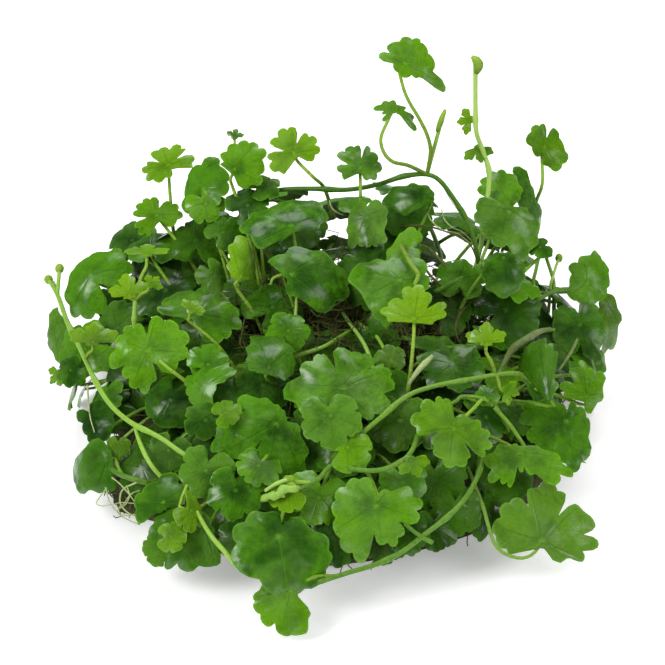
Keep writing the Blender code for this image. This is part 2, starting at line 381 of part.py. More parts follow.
# One row a shoot: its creeping stem's points across, up and lift, then its leaves and its bud
Shoot = namedtuple("Shoot", "name stem leaves buds")
SHOOTS = (
    Shoot(
        "runner_top",
        ((-15, 48.6, 3), (-7.6, 49.8, 5), (3.6, 49.6, 6), (11.6, 51.2, 8), (19.4, 52.8, 12),
         (26.4, 44.4, 6), (28.6, 38, 2), (29.6, 32, -6)),
        (
            Leaf("top", 14.4, 74.7, 28, 7.4, 340, 10, 20, "bright"),
            Leaf("hanging", 12.7, 65.8, 20, 5.2, 300, 0, 20, "cut"),
        ),
        ((22.2, 64.8, 20),),
    ),
    Shoot(
        "shoot_tall",
        ((28.6, 74.6, 32), (28.6, 67, 26), (28.8, 61, 21), (30.2, 57, 17), (31.4, 52, 13), (30.4, 44, 6),
         (29.6, 38, 0), (28, 32, -7)),
        (
            Leaf("side", 27.6, 63.6, 22, 3.2, 190, -20, 15, "fan"),
            Leaf("node", 29.2, 58.0, 17, 3.6, 280, 0, 15, "fan"),
        ),
        ((28.8, 76.0, 33),),
    ),
    Shoot(
        "runner_right",
        ((0, -4, -3), (6.6, 1.4, 4), (16.2, 9.2, 5), (21.6, 10.4, 5), (29.6, 12, 5), (36, 12.8, 5),
         (39.6, 11.6, 4), (43, 7.4, 0), (44, 2, -8)),
        (
            Leaf("round", 30.8, 19.0, 9, 4.6, 90, 0, 20, "fan"),
            Leaf("small", 34.6, 9.6, 6, 3.0, 340, 0, 30, "fan"),
        ),
        (),
    ),
    Shoot(
        "runner_left",
        ((-56.0, 31.0, 6), (-54.4, 27, 6), (-52.6, 22, 6), (-50.2, 17.4, 5), (-47.6, 11.6, 4),
         (-43.4, 5.4, 3), (-38, 1.6, 3), (-33.4, -0.6, 2), (-27.8, -4.4, 0), (-22, -6, -7)),
        (Leaf("bright", -48.0, 19.0, 8, 5.4, 90, 0, 25, "fan"),),
        ((-56.8, 31.6, 6), (-54.6, 33.8, 7)),
    ),
    Shoot(
        "runner_front",
        ((-3, -29, 1.5), (2.6, -27.2, 2), (8.6, -25.4, 3), (12.8, -23.6, 3), (20.2, -18, 2),
         (24.6, -14.4, 2), (27.8, -10.2, 1), (30, -4.6, -2), (30, 0, -9)),
        (Leaf("floor", -8.3, -30.5, 1.5, 7.4, 250, 0, 20, "bright"),),
        (),
    ),
    Shoot(
        "runner_middle",
        ((-7, -10.4, 6), (-3, -8.4, 5), (0, -5.6, 3), (7.6, -6.8, 4), (14.4, -4.4, 6), (17, 0, 0),
         (18, 2, -9)),
        (
            Leaf("pale", -9.0, -11.4, 7, 3.8, 200, 0, 20, "bright"),
            Leaf("curly", 15.6, -4.4, 7, 3.8, 300, 10, 25, "fan"),
            Leaf("glossy", 3.0, -2.0, 4, 5.0, 20, 0, 25, "bright"),
        ),
        ((-8.4, -8.8, 7),),
    ),
    Shoot(
        "shoot_left",
        ((-39.4, 28.6, 9), (-39.6, 22, 5), (-38, 16, -2), (-35, 10, -9)),
        (
            Leaf("pair", -40.6, 28.4, 10, 5.0, 100, 0, 25, "fan"),
            Leaf("twin", -36.4, 30.6, 10, 2.6, 45, 0, 25, "fan"),
            Leaf("edge", -37.2, 36.6, 9, 4.8, 90, 0, 52, "fan"),
        ),
        (),
    ),
)

# The side that the front view hides: shoots that arch down from the mat, by direction, reach and height
BackShoot = namedtuple("BackShoot", "name direction reach height")
BACK_SHOOTS = (
    BackShoot("shoot_back_right", 30, 50, 25),
    BackShoot("shoot_back_middle_right", 63, 52, 28),
    BackShoot("shoot_back_middle_left", 97, 52, 27),
    BackShoot("shoot_back_left", 132, 51, 26),
)
# Its course, in shares of its reach and height
BACK_COURSE = ((0.40, 0.68), (0.60, 0.92), (0.80, 0.95), (0.93, 0.62), (1.0, 0.24))
# Leaves along it: share of its length, sideways, rise off it, radius, sideways heading, tilt and style
BackLeaf = namedtuple("BackLeaf", "name share sideways rise radius heading tilt style")
BACK_LEAVES = (
    BackLeaf("crown", 0.38, -7.0, 6.0, 6.4, -40, 20, "mid"),
    BackLeaf("shoulder", 0.55, 7.0, 6.0, 7.6, 35, 38, "broad"),
    BackLeaf("flank", 0.74, -6.5, 5.5, 7.0, -30, 52, "dark"),
    BackLeaf("low", 0.88, 7.0, 4.5, 6.8, 30, 62, "mid"),
    BackLeaf("end", 1.00, -2.0, 2.5, 6.0, 0, 60, "bright"),
)

# Colour and roughness of each finish
FINISHES = {
    "roots": ((0.165, 0.130, 0.065), 0.95),
    "stem": ((0.150, 0.330, 0.060), 0.50),
    "leaf_young": ((0.165, 0.375, 0.020), 0.42),
    "leaf_grown": ((0.075, 0.230, 0.022), 0.40),
    "leaf_old": ((0.035, 0.140, 0.014), 0.35),
    "leaf_pale": ((0.110, 0.250, 0.075), 0.38),
}

PARTS_COLLECTION = "pennywort"
CUTTERS_COLLECTION = "joined_pieces"


def canopy(x, y):
    """Height of the leaf canopy: a low dome in front that keeps rising gently towards the back."""
    reach = min(math.hypot(x, min(y, 0)) / CANOPY_RADIUS, 1)
    return CANOPY_HEIGHT * (1 - reach**CANOPY_POWER) + CANOPY_BACK_SLOPE * min(max(y, 0), CANOPY_RADIUS)


def sight_line(across, up):
    """Direction from the eye through a place in the picture plane."""
    return (ACROSS * across + UP_THE_VIEW * up - EYE).normalized()


def on_canopy(across, up, lift):
    """Point where the line of sight comes down to the canopy raised by the lift."""
    direction = sight_line(across, up)
    height = CANOPY_HEIGHT
    for _ in range(SIGHT_PASSES):
        point = EYE + direction * ((height - EYE.z) / direction.z)
        height += SIGHT_EASE * (max(canopy(point.x, point.y) + lift, 1) - height)
    return point


def smooth_path(points, steps):
    """Points at even shares of a smooth curve through the given ones."""
    padded = [points[0] * 2 - points[1], *points, points[-1] * 2 - points[-2]]
    spans = [(b - a).length for a, b in zip(points, points[1:])]
    total = sum(spans)
    path = []
    for step in range(steps + 1):
        along = total * step / steps
        index = 0
        while index < len(spans) - 1 and along > spans[index]:
            along -= spans[index]
            index += 1
        t = min(along / spans[index], 1)
        a, b, c, d = padded[index:index + 4]
        bend = (2 * a - 5 * b + 4 * c - d) * t**2 + (3 * b - a - 3 * c + d) * t**3
        path.append(0.5 * (2 * b + (c - a) * t + bend))
    return path


def blade_axes(heading, turn, tip):
    """The blade's middle line, its side and its face direction, for a heading seen in the picture plane."""
    turn, tip, heading = math.radians(turn), math.radians(tip), math.radians(heading)
    tipped = TO_THE_EYE * math.cos(tip) + UP_THE_VIEW * math.sin(tip)
    face = tipped * math.cos(turn) + ACROSS * math.sin(turn)
    seen = ACROSS * math.cos(heading) + UP_THE_VIEW * math.sin(heading)
    middle = (seen - TO_THE_EYE * (seen.dot(face) / TO_THE_EYE.dot(face))).normalized()
    return middle, face.cross(middle), face


def style_corners(style, radius):
    """Angle and reach of each corner of a lobed blade, round from one side of its base to the other."""
    half_width = (style.lobes[1] - style.lobes[0]) / 2
    corners = [(-BASE_NOTCH_ANGLE, BASE_NOTCH_REACH)]
    is_fan = style.lobes[-1] < 90
    if is_fan:
        corners.append((-FAN_EDGE_ANGLE, FAN_EDGE_REACH))
    for lobe in style.lobes:
        if lobe != style.lobes[0]:
            corners.append((lobe - half_width, 1 - style.cut))
        for share in style.corners:
            corners.append((lobe + share * half_width, 1 - style.cut * abs(share)**LOBE_ROUNDNESS))
    if is_fan:
        corners.append((FAN_EDGE_ANGLE, FAN_EDGE_REACH))
    corners.append((BASE_NOTCH_ANGLE, BASE_NOTCH_REACH))
    return [(math.radians(angle), reach * radius) for angle, reach in corners]


def sink(style, radius, angle, reach):
    """How far the blade bends down at a place on it."""
    return style.droop * reach * reach / radius + style.fold * abs(reach * math.sin(angle))


def seen_corners(name, axes, style, radius):
    """The same for a measured outline, laid on the blade so that the front view shows it as measured."""
    middle, side, face = axes
    numbers = OUTLINES[name]
    pairs = [(numbers[index], numbers[index + 1]) for index in range(0, len(numbers), 2)]
    corners = []
    for index, (direction, reach) in enumerate(pairs):
        before, after = pairs[index - 1][1], pairs[(index + 1) % len(pairs)][1]
        if index % 2 == 0 and index and reach > SHALLOW_NOTCH * (before + after) / 2:
            continue
        direction = math.radians(direction)
        seen = (ACROSS * math.cos(direction) + UP_THE_VIEW * math.sin(direction)) * reach
        bend = 0
        for _ in range(BEND_PASSES):
            target = seen + (face - TO_THE_EYE * face.dot(TO_THE_EYE)) * bend
            flat = target - TO_THE_EYE * (target.dot(face) / TO_THE_EYE.dot(face))
            angle = math.atan2(flat.dot(side), flat.dot(middle))
            bend = sink(style, radius, angle, flat.length)
        while corners and angle < corners[-1][0]:
            angle += 2 * math.pi
        corners.append((angle, flat.length))
    return corners


def leaf_solid(leaf, attach, axes, stalk, swell, domed):
    """One leaf as one loft: foot cap, square stalk, underside of the lobed blade, rim and domed top."""
    middle, side, face = axes
    style = STYLES[leaf.style]
    thickness = BLADE_THICKNESS + 2 * swell
    stalk_radius = STALK_RADIUS + swell
    if leaf.name in OUTLINES:
        corners = seen_corners(leaf.name, axes, style, leaf.radius)
    else:
        corners = style_corners(style, leaf.radius)
    corners = [(angle, reach + swell) for angle, reach in corners]

    def on_blade(angle, reach, rise):
        reach = max(reach, MIN_REACH)
        flat = middle * (reach * math.cos(angle)) + side * (reach * math.sin(angle))
        return attach + flat + face * (rise - sink(style, leaf.radius, angle, reach))

    verts = []
    path = stalk[:-1] + [attach - face * thickness / 2]
    lean = middle
    rings = []
    for index in range(len(path) - 1, -1, -1):
        before = path[max(index - 1, 0)]
        after = path[min(index + 1, len(path) - 1)]
        tangent = (after - before).normalized() if index < len(path) - 1 else face
        lean = (lean - tangent * lean.dot(tangent)).normalized()
        flank = tangent.cross(lean)
        rings.append(range(len(verts), len(verts) + 4))
        for quarter in range(4):
            angle = math.radians(45 + 90 * quarter)
            verts.append(path[index] + (lean * math.cos(angle) + flank * math.sin(angle)) * stalk_radius)
    foot = rings[-1]
    faces = [(foot[2], foot[1], foot[0]), (foot[3], foot[2], foot[0])]
    for upper, lower in zip(rings, rings[1:]):
        for quarter in range(4):
            after = (quarter + 1) % 4
            faces.append((lower[quarter], lower[after], upper[after]))
            faces.append((lower[quarter], upper[after], upper[quarter]))

    count = len(corners)
    outline = range(len(verts), len(verts) + count)
    verts += [on_blade(angle, reach, 0) for angle, reach in corners]
    quarters = [int(math.degrees(angle) % 360 // 90) for angle, _ in corners]
    for index in range(count):
        after = (index + 1) % count
        near, far = quarters[index], quarters[after]
        faces.append((rings[0][near], outline[after], outline[index]))
        while near != far:
            faces.append((rings[0][near], rings[0][(near + 1) % 4], outline[after]))
            near = (near + 1) % 4

    centre = len(verts) + (count if domed else 0)
    inner = outline
    if domed:
        inner = range(len(verts), len(verts) + count)
        verts += [on_blade(angle, reach * MIDDLE_RING, thickness / 2) for angle, reach in corners]
        for index in range(count):
            after = (index + 1) % count
            faces.append((outline[index], outline[after], inner[after]))
            faces.append((outline[index], inner[after], inner[index]))
    verts.append(attach + face * thickness / 2)
    faces += [(inner[index], inner[(index + 1) % count], centre) for index in range(count)]
    return verts, faces


def tree_of(solid):
    return BVHTree.FromPolygons(*solid)


def foot_on_mat(point, swing, mat_tree):
    """Place on top of the mat, inward of a point and swung about the mat's centre, where a stalk ends."""
    reach = min(math.hypot(point.x, point.y) * FOOT_SHARE, FOOT_RADIUS)
    angle = math.atan2(point.y, point.x) + math.radians(swing)
    above = Vector((reach * math.cos(angle), reach * math.sin(angle), 4 * MAT_HEIGHT))
    hit = mat_tree.ray_cast(above, Vector((0, 0, -1)))[0]
    return hit + Vector((0, 0, STALK_RADIUS + 2 * CLEARANCE))


def stalk_path(attach, axes, controls, steps):
    """The stalk from its foot to the blade, which it meets from below and behind."""
    middle, _, face = axes
    neck_length = min(NECK_LENGTH, NECK_SHARE * (attach - controls[-1]).length)
    neck = attach - (face * NECK_BEHIND + middle * NECK_BELOW) * neck_length
    if len(controls) == 1:
        foot = controls[0]
        controls = [foot, foot.lerp(neck, 0.5) + Vector((0, 0, STALK_ARCH * (neck - foot).length))]
    return smooth_path([*controls, neck, attach], steps)


def clear_of(solid, trees):
    if min(vert.z for vert in solid[0]) < FLOOR_CLEARANCE:
        return False
    tree = tree_of(solid)
    return not any(tree.overlap(other) for other in trees)


def slides():
    """Distances along the line of sight that a leaf may slide, nearest first."""
    yield 0
    for step in range(1, SLIDE_COUNT + 1):
        yield SLIDE_STEP * step
        yield -SLIDE_STEP * step


def fitted_leaf(leaf, start, axes, direction, routes, trees, domed):
    """The leaf's solid at the first place along a direction where it touches no other piece."""
    for slide in slides():
        attach = start + direction * slide
        for controls in routes(attach):
            steps = ROUTED_STALK_STEPS if len(controls) > 1 else STALK_STEPS if domed else SHORT_STALK_STEPS
            stalk = stalk_path(attach, axes, controls, steps)
            if clear_of(leaf_solid(leaf, attach, axes, stalk, CLEARANCE, domed), trees):
                return leaf_solid(leaf, attach, axes, stalk, 0, domed)
    raise ValueError(f"no clear place for {leaf.name}")


def single_leaf(leaf, trees, mat_tree):
    """A leaf whose stalk stands on the mat, seen where the front view shows it."""
    shown = [on_canopy(*point) for point in reversed(STALKS.get(leaf.name, ()))]

    def routes(attach):
        if shown:
            return [[point + ACROSS * shift for point in shown] for shift in STALK_SHIFTS]
        return [[foot_on_mat(attach, swing, mat_tree)] for swing in FOOT_SWINGS]

    axes = blade_axes(leaf.heading, leaf.turn, leaf.tip)
    start = on_canopy(leaf.across, leaf.up, leaf.lift)
    return fitted_leaf(leaf, start, axes, -sight_line(leaf.across, leaf.up), routes, trees, True)


def material(name):
    """The Principled material of a finish, made once."""
    if name in bpy.data.materials:
        return bpy.data.materials[name]
    colour, roughness = FINISHES[name]
    made = bpy.data.materials.new(name)
    made.use_nodes = True
    shader = made.node_tree.nodes["Principled BSDF"]
    shader.inputs["Base Color"].default_value = (*colour, 1)
    shader.inputs["Roughness"].default_value = roughness
    shader.inputs["Metallic"].default_value = 0
    return made


def collection(name):
    if name not in bpy.data.collections:
        bpy.context.scene.collection.children.link(bpy.data.collections.new(name))
    return bpy.data.collections[name]


def add_object(name, mesh, finish, group=PARTS_COLLECTION):
    made = bpy.data.objects.new(name, mesh)
    mesh.materials.clear()
    mesh.materials.append(material(finish))
    collection(group).objects.link(made)
    return made


def mesh_of(name, solid):
    """A mesh in metres with its faces pointing out."""
    mesh = bpy.data.meshes.new(name)
    mesh.from_pydata([vert * MM for vert in solid[0]], [], solid[1])
    work = bmesh.new()
    work.from_mesh(mesh)
    bmesh.ops.recalc_face_normals(work, faces=work.faces)
    work.to_mesh(mesh)
    work.free()
    return mesh


def mat_outline(angle):
    """The mat's radius in a direction: a lumpy circle with a tuft of finer roots at the front left."""
    lump = noise.noise(Vector((math.cos(angle) * 1.3, math.sin(angle) * 1.3, 4.0)))
    tuft = math.exp(-((math.degrees(angle) % 360 - TUFT_DIRECTION) / TUFT_WIDTH)**2)
    return MAT_RADIUS * (1 + MAT_WAVINESS * lump) + TUFT_REACH * tuft


def root_mat():
    """The mat of roots: a turned low cushion with a flat underside, pushed in and out into lumps."""
    mesh = bpy.data.meshes.new("root_mat_profile")
    verts = [(reach, 0, height) for reach, height in MAT_SECTION]
    mesh.from_pydata(verts, [(index, index + 1) for index in range(len(verts) - 1)], [])
    turned = bpy.data.objects.new("root_mat_profile", mesh)
    bpy.context.scene.collection.objects.link(turned)
    screw = turned.modifiers.new("turn", "SCREW")
    screw.steps = MAT_SIDES
    screw.render_steps = MAT_SIDES
    screw.use_merge_vertices = True
    screw.merge_threshold = 0.0001
    bpy.context.view_layer.update()
    shaped = bpy.data.meshes.new_from_object(turned.evaluated_get(bpy.context.evaluated_depsgraph_get()))
    shaped.name = "root_mat"
    bpy.data.objects.remove(turned)
    work = bmesh.new()
    work.from_mesh(shaped)
    bmesh.ops.remove_doubles(work, verts=work.verts, dist=0.0001)
    rim = [edge for edge in work.edges if edge.is_boundary]
    bmesh.ops.contextual_create(work, geom=rim)
    for vert in work.verts:
        angle = math.atan2(vert.co.y, vert.co.x)
        reach = math.hypot(vert.co.x, vert.co.y) * mat_outline(angle)
        height = vert.co.z * MAT_HEIGHT
        lump = noise.noise(Vector((reach * math.cos(angle), reach * math.sin(angle), height)) * 0.11)
        lift = MAT_LUMP * lump * vert.co.z
        vert.co = Vector((reach * math.cos(angle), reach * math.sin(angle), height + lift)) * MM
    bmesh.ops.triangulate(work, faces=work.faces)
    bmesh.ops.recalc_face_normals(work, faces=work.faces)
    work.to_mesh(shaped)
    work.free()
    return add_object("root_mat", shaped, "roots")


def tube(name, path, radius):
    """A round stem along a path, as a mesh with its ends closed."""
    curve = bpy.data.curves.new(name, "CURVE")
    curve.dimensions = "3D"
    curve.bevel_depth = radius * MM
    curve.bevel_resolution = 1
    curve.use_fill_caps = True
    spline = curve.splines.new("POLY")
    spline.points.add(len(path) - 1)
    for point, place in zip(spline.points, path):
        point.co = (*(place * MM), 1)
    drawn = bpy.data.objects.new(name, curve)
    bpy.context.scene.collection.objects.link(drawn)
    bpy.context.view_layer.update()
    mesh = bpy.data.meshes.new_from_object(drawn.evaluated_get(bpy.context.evaluated_depsgraph_get()))
    bpy.data.objects.remove(drawn)
    work = bmesh.new()
    work.from_mesh(mesh)
    bmesh.ops.remove_doubles(work, verts=work.verts, dist=0.00001)
    bmesh.ops.recalc_face_normals(work, faces=work.faces)
    work.to_mesh(mesh)
    work.free()
    return mesh


def ball(name, centre, radius):
    mesh = bpy.data.meshes.new(name)
    work = bmesh.new()
    place = Matrix.Translation(centre * MM)
    bmesh.ops.create_icosphere(work, subdivisions=1, radius=radius * MM, matrix=place)
    work.to_mesh(mesh)
    work.free()
    return mesh


def solid_of(mesh):
    """A mesh's vertices in millimetres and its faces."""
    return [vert.co / MM for vert in mesh.vertices], [tuple(face.vertices) for face in mesh.polygons]


def joined(target, mesh):
    """Joins a closed mesh to an object by a Boolean union."""
    piece = add_object(f"{mesh.name}_join", mesh, "stem", CUTTERS_COLLECTION)
    piece.hide_render = True
    piece.display_type = "WIRE"
    union = target.modifiers.new(piece.name, "BOOLEAN")
    union.operation = "UNION"
    union.object = piece
    union.use_self = True


def nearest_on(path, point):
    """The place on a stem nearest to a point, short of the stem's ends."""
    return min(path[STEM_END_SHARE:-STEM_END_SHARE], key=lambda place: (place - point).length)


def grow_shoot(name, path, leaves, buds, trees):
    """A creeping stem with its leaves and buds, as one piece; a leaf is (row, place, axes, direction)."""
    stem = add_object(name, tube(name, path, STEM_RADIUS), "stem")
    fine_path = smooth_path(path, 6 * STEM_STEPS)
    grown = [tree_of(solid_of(stem.data))]
    for leaf, attach, axes, direction in leaves:
        shown = [on_canopy(*point) for point in reversed(STALKS.get(leaf.name, ()))]
        foot = nearest_on(fine_path, shown[0] if shown else attach - axes[2] * 0.5 * leaf.radius)
        solid = fitted_leaf(leaf, attach, axes, direction, lambda place: [[foot, *shown[1:]]], trees, False)
        joined(stem, mesh_of(f"{name}_{leaf.name}", solid))
        grown.append(tree_of(solid))
    for index, centre in enumerate(buds):
        foot = nearest_on(fine_path, centre)
        bud = ball(f"{name}_bud_{index + 1}", centre, BUD_RADIUS)
        joined(stem, bud)
        grown.append(tree_of(solid_of(bud)))
        if (centre - foot).length > BUD_RADIUS:
            course = [foot, foot.lerp(centre, 0.5), centre]
            stalk = tube(f"{name}_bud_stalk_{index + 1}", course, STALK_RADIUS)
            joined(stem, stalk)
            grown.append(tree_of(solid_of(stalk)))
    trees += grown


def front_shoot(shoot, trees):
    """A shoot laid out by what the front view shows of it."""
    path = smooth_path([on_canopy(*point) for point in shoot.stem], STEM_STEPS)
    leaves = [
        (leaf, on_canopy(leaf.across, leaf.up, leaf.lift), blade_axes(leaf.heading, leaf.turn, leaf.tip),
         -sight_line(leaf.across, leaf.up))
        for leaf in shoot.leaves
    ]
    grow_shoot(shoot.name, path, leaves, [on_canopy(*bud) for bud in shoot.buds], trees)


def back_shoot(shoot, trees):
    """A shoot that rises off the mat and arches down behind it, with its leaves facing up and out."""
    turn = Matrix.Rotation(math.radians(shoot.direction), 3, "Z")
    course = [turn @ Vector((shoot.reach * out, 0, shoot.height * up)) for out, up in BACK_COURSE]
    path = smooth_path(course, STEM_STEPS)
    fine_path = smooth_path(path, 6 * STEM_STEPS)
    leaves = []
    for leaf in BACK_LEAVES:
        tilt = math.radians(leaf.tilt)
        face = turn @ Vector((math.sin(tilt), 0, math.cos(tilt)))
        outward = turn @ Matrix.Rotation(math.radians(leaf.heading), 3, "Z") @ Vector((1, 0, 0))
        middle = (outward - face * outward.dot(face)).normalized()
        on_stem = fine_path[round(leaf.share * (len(fine_path) - 1))]
        attach = on_stem + turn @ Vector((0, leaf.sideways, 0)) + face * leaf.rise
        leaves.append((leaf, attach, (middle, face.cross(middle), face), face))
    grow_shoot(shoot.name, path, leaves, [], trees)


def main():
    for old in list(bpy.data.objects):
        bpy.data.objects.remove(old)
    mat = root_mat()
    mat_tree = tree_of(solid_of(mat.data))
    trees = [mat_tree]
    for shoot in SHOOTS:
        front_shoot(shoot, trees)
    for shoot in BACK_SHOOTS:
        back_shoot(shoot, trees)
    for leaf in LEAVES:
        solid = single_leaf(leaf, trees, mat_tree)
        add_object(leaf.name, mesh_of(leaf.name, solid), STYLES[leaf.style].colour)
        trees.append(tree_of(solid))


main()
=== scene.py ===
"""The look of a clump of pennywort: fine leaves, stalks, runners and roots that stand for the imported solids.

Lengths are in millimetres until a mesh is written. A leaf's place is given as seen from the front, as in the
solids: how far across and up the picture plane its stalk joins it, and how far it is lifted off the leaf
canopy there. Where a solid exists, the leaf is then found on the solid itself.
"""

import math
import random
from collections import namedtuple

import bmesh
import bpy
import numpy as np
from mathutils import Matrix, Vector, noise
from mathutils.bvhtree import BVHTree
from mathutils.kdtree import KDTree


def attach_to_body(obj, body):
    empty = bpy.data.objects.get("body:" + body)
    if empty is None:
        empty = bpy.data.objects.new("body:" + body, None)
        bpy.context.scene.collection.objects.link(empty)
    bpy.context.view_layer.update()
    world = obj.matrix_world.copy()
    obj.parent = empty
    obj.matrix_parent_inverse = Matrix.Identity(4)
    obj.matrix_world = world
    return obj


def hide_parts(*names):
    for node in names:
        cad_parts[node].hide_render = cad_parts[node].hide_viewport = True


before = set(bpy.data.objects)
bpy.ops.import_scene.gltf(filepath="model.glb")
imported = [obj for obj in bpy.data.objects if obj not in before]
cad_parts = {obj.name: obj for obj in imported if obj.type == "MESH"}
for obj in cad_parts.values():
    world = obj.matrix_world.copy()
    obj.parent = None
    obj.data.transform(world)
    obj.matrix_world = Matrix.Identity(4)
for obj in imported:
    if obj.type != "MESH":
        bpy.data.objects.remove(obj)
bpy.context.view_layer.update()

MM = 0.001
SEED = 11

# The same driving sizes as the solids, in millimetres
MAT_HEIGHT = 15.0
CANOPY_RADIUS = 66.0
CANOPY_HEIGHT = 32.0
CANOPY_POWER = 2.2
CANOPY_BACK_SLOPE = 0.2
LOWEST_PLACE = 1
STALK_RADIUS = 0.42
STEM_RADIUS = 0.55
BUD_RADIUS = 0.95
BLADE_THICKNESS = 0.5
CLEARANCE = 0.2
NECK_LENGTH = 2.2
NECK_SHARE = 0.35
STEM_STEPS = 10
STEM_END_SHARE = 4
FOOT_SHARE = 0.62
FOOT_RADIUS = 35.0
FOOT_SWINGS = (0, 14, -14, 28, -28, 45, -45, 65, -65)
STALK_SHIFTS = (0, 0.9, -0.9, 1.8, -1.8, 3.0, -3.0)
SLIDE_STEP = 0.8
SLIDE_COUNT = 21
CORNER_TOLERANCE = 0.1

# The line of sight that the places are measured along, which is the camera's
SIGHT_ELEVATION = math.radians(35)
SIGHT_DISTANCE = 600.0
SIGHT_UP = 21.0
PICTURE_WIDTH = 133.0
ACROSS = Vector((1, 0, 0))
UPWARDS = Vector((0, 0, 1))
UP_THE_VIEW = Vector((0, math.sin(SIGHT_ELEVATION), math.cos(SIGHT_ELEVATION)))
TO_THE_EYE = Vector((0, -math.cos(SIGHT_ELEVATION), math.sin(SIGHT_ELEVATION)))
EYE = UP_THE_VIEW * SIGHT_UP + TO_THE_EYE * SIGHT_DISTANCE
# How often and how fast a place on the canopy, or a bend of a blade, closes in on its answer
SIGHT_ROUNDS = 60
SIGHT_EASE = 0.35
BEND_ROUNDS = 5

# Leaf shapes: lobe directions, teeth a lobe, depth of cuts and teeth, droop, fold, waviness and finish
Style = namedtuple("Style", "lobes teeth cut tooth droop fold wave finish")
FIVE = (-124, -62, 0, 62, 124)
THREE = (-94, 0, 94)
FAN = (-62, 0, 62)
STYLES = {
    "three": Style(THREE, 3, 0.66, 0.12, 0.06, 0.00, 0.07, "leaf_fresh"),
    "fan": Style(FAN, 3, 0.50, 0.10, 0.08, 0.00, 0.08, "leaf_young"),
    "bright": Style(FIVE, 2, 0.20, 0.07, 0.14, 0.00, 0.08, "leaf_fresh"),
    "hood": Style(FIVE, 3, 0.14, 0.04, 0.25, 0.35, 0.06, "leaf_fresh"),
    "cut": Style(FIVE, 3, 0.36, 0.07, 0.10, 0.00, 0.09, "leaf_grown"),
    "mid": Style(FIVE, 3, 0.22, 0.045, 0.16, 0.00, 0.08, "leaf_grown"),
    "broad": Style(FIVE, 3, 0.09, 0.035, 0.14, 0.00, 0.08, "leaf_grown"),
    "round": Style(FIVE, 2, 0.10, 0.030, 0.32, 0.00, 0.05, "leaf_old"),
    "dome": Style(FIVE, 2, 0.10, 0.030, 0.32, 0.00, 0.05, "leaf_grown"),
    "dark": Style(FIVE, 3, 0.16, 0.04, 0.20, 0.00, 0.08, "leaf_old"),
    # The grey and folded styles take a finish whose grey-green is painted sheen
    "grey": Style(FIVE, 3, 0.20, 0.045, 0.16, 0.00, 0.08, "leaf_pale"),
    "folded": Style(FIVE, 3, 0.18, 0.05, 0.10, 0.70, 0.05, "leaf_pale"),
}
BASE_NOTCH_REACH = 0.18
BASE_NOTCH_ANGLE = 176
LOBE_ROUNDNESS = 2.4
MIN_REACH = 0.76
TOOTH_ROUNDNESS = 2.6
TOOTH_SAMPLES = 3
BLADE_RINGS = (0.16, 0.34, 0.52, 0.70, 0.86, 0.955, 1.0)
SMALL_BLADE_RINGS = (0.2, 0.45, 0.7, 0.92, 1.0)
SMALL_BLADE_RADIUS = 4.5
FINE_THICKNESS = 0.26
WIDE_GAP = math.radians(46)
WIDE_GAP_STEP = math.radians(12)
VEIN_GROOVE = 0.008
FOLD_SOFTNESS = 1.2
RIM_CURL = 0.045
BLADE_TWIST = 0.10
# Ripples of a blade: share of its style's waviness, waves round it, and how much they keep to the rim
RIPPLES = ((1, 2, 2), (0.8, 3, 3), (0.45, 7, 3), (0.30, 13, 4))
MANY_CORNERS = 34
HEART_ROUNDING = 9
# A blade whose lobes end short of this angle has a wide open base
OPEN_BASE = 120
OPEN_BASE_TURN = 22
BASE_LOBE_SHARE = 1.5
BASE_NOTCH_SHARE = 0.6
# What varies from lobe to lobe: its length and lean, the depth of its teeth, and the reach of their tips
LOBE_LENGTHS = (0.90, 1.06)
LOBE_LEAN = 4
TOOTH_DEPTHS = (0.7, 1.3)
TIP_REACHES = (0.96, 1.03)
GROOVE_TIGHTNESS = 3
MINOR_GROOVE_LOSS = 0.8
STALK_SIDES = 7
STEM_SIDES = 8
BUD_SIDES = 9
STALK_RINGS = 12
SMALL_STALK_RINGS = 9
RINGS_A_BEND = 6
STALK_TAPER = 0.75
SMALL_STALK_TAPER = 0.6
STALK_BOW = 0.12
STALK_TIP_DEPTH = 0.2
STALK_START_SHARE = 0.5
NECK_DROP = 0.8
NECK_BACK = 0.6
RINGS_A_SPAN = 8
# A direction that no stem follows, from which a tube's sides are counted, and the least use of it
FIRST_LEAN = Vector((0.31, 0.17, 0.93))
SHORT_LEAN = 0.1
STEM_RINGS = 6 * STEM_STEPS
STEM_JOINT = 15
STEM_WAIST = 0.86
STEM_SWELLING = 0.26
STEM_TIP = 0.8

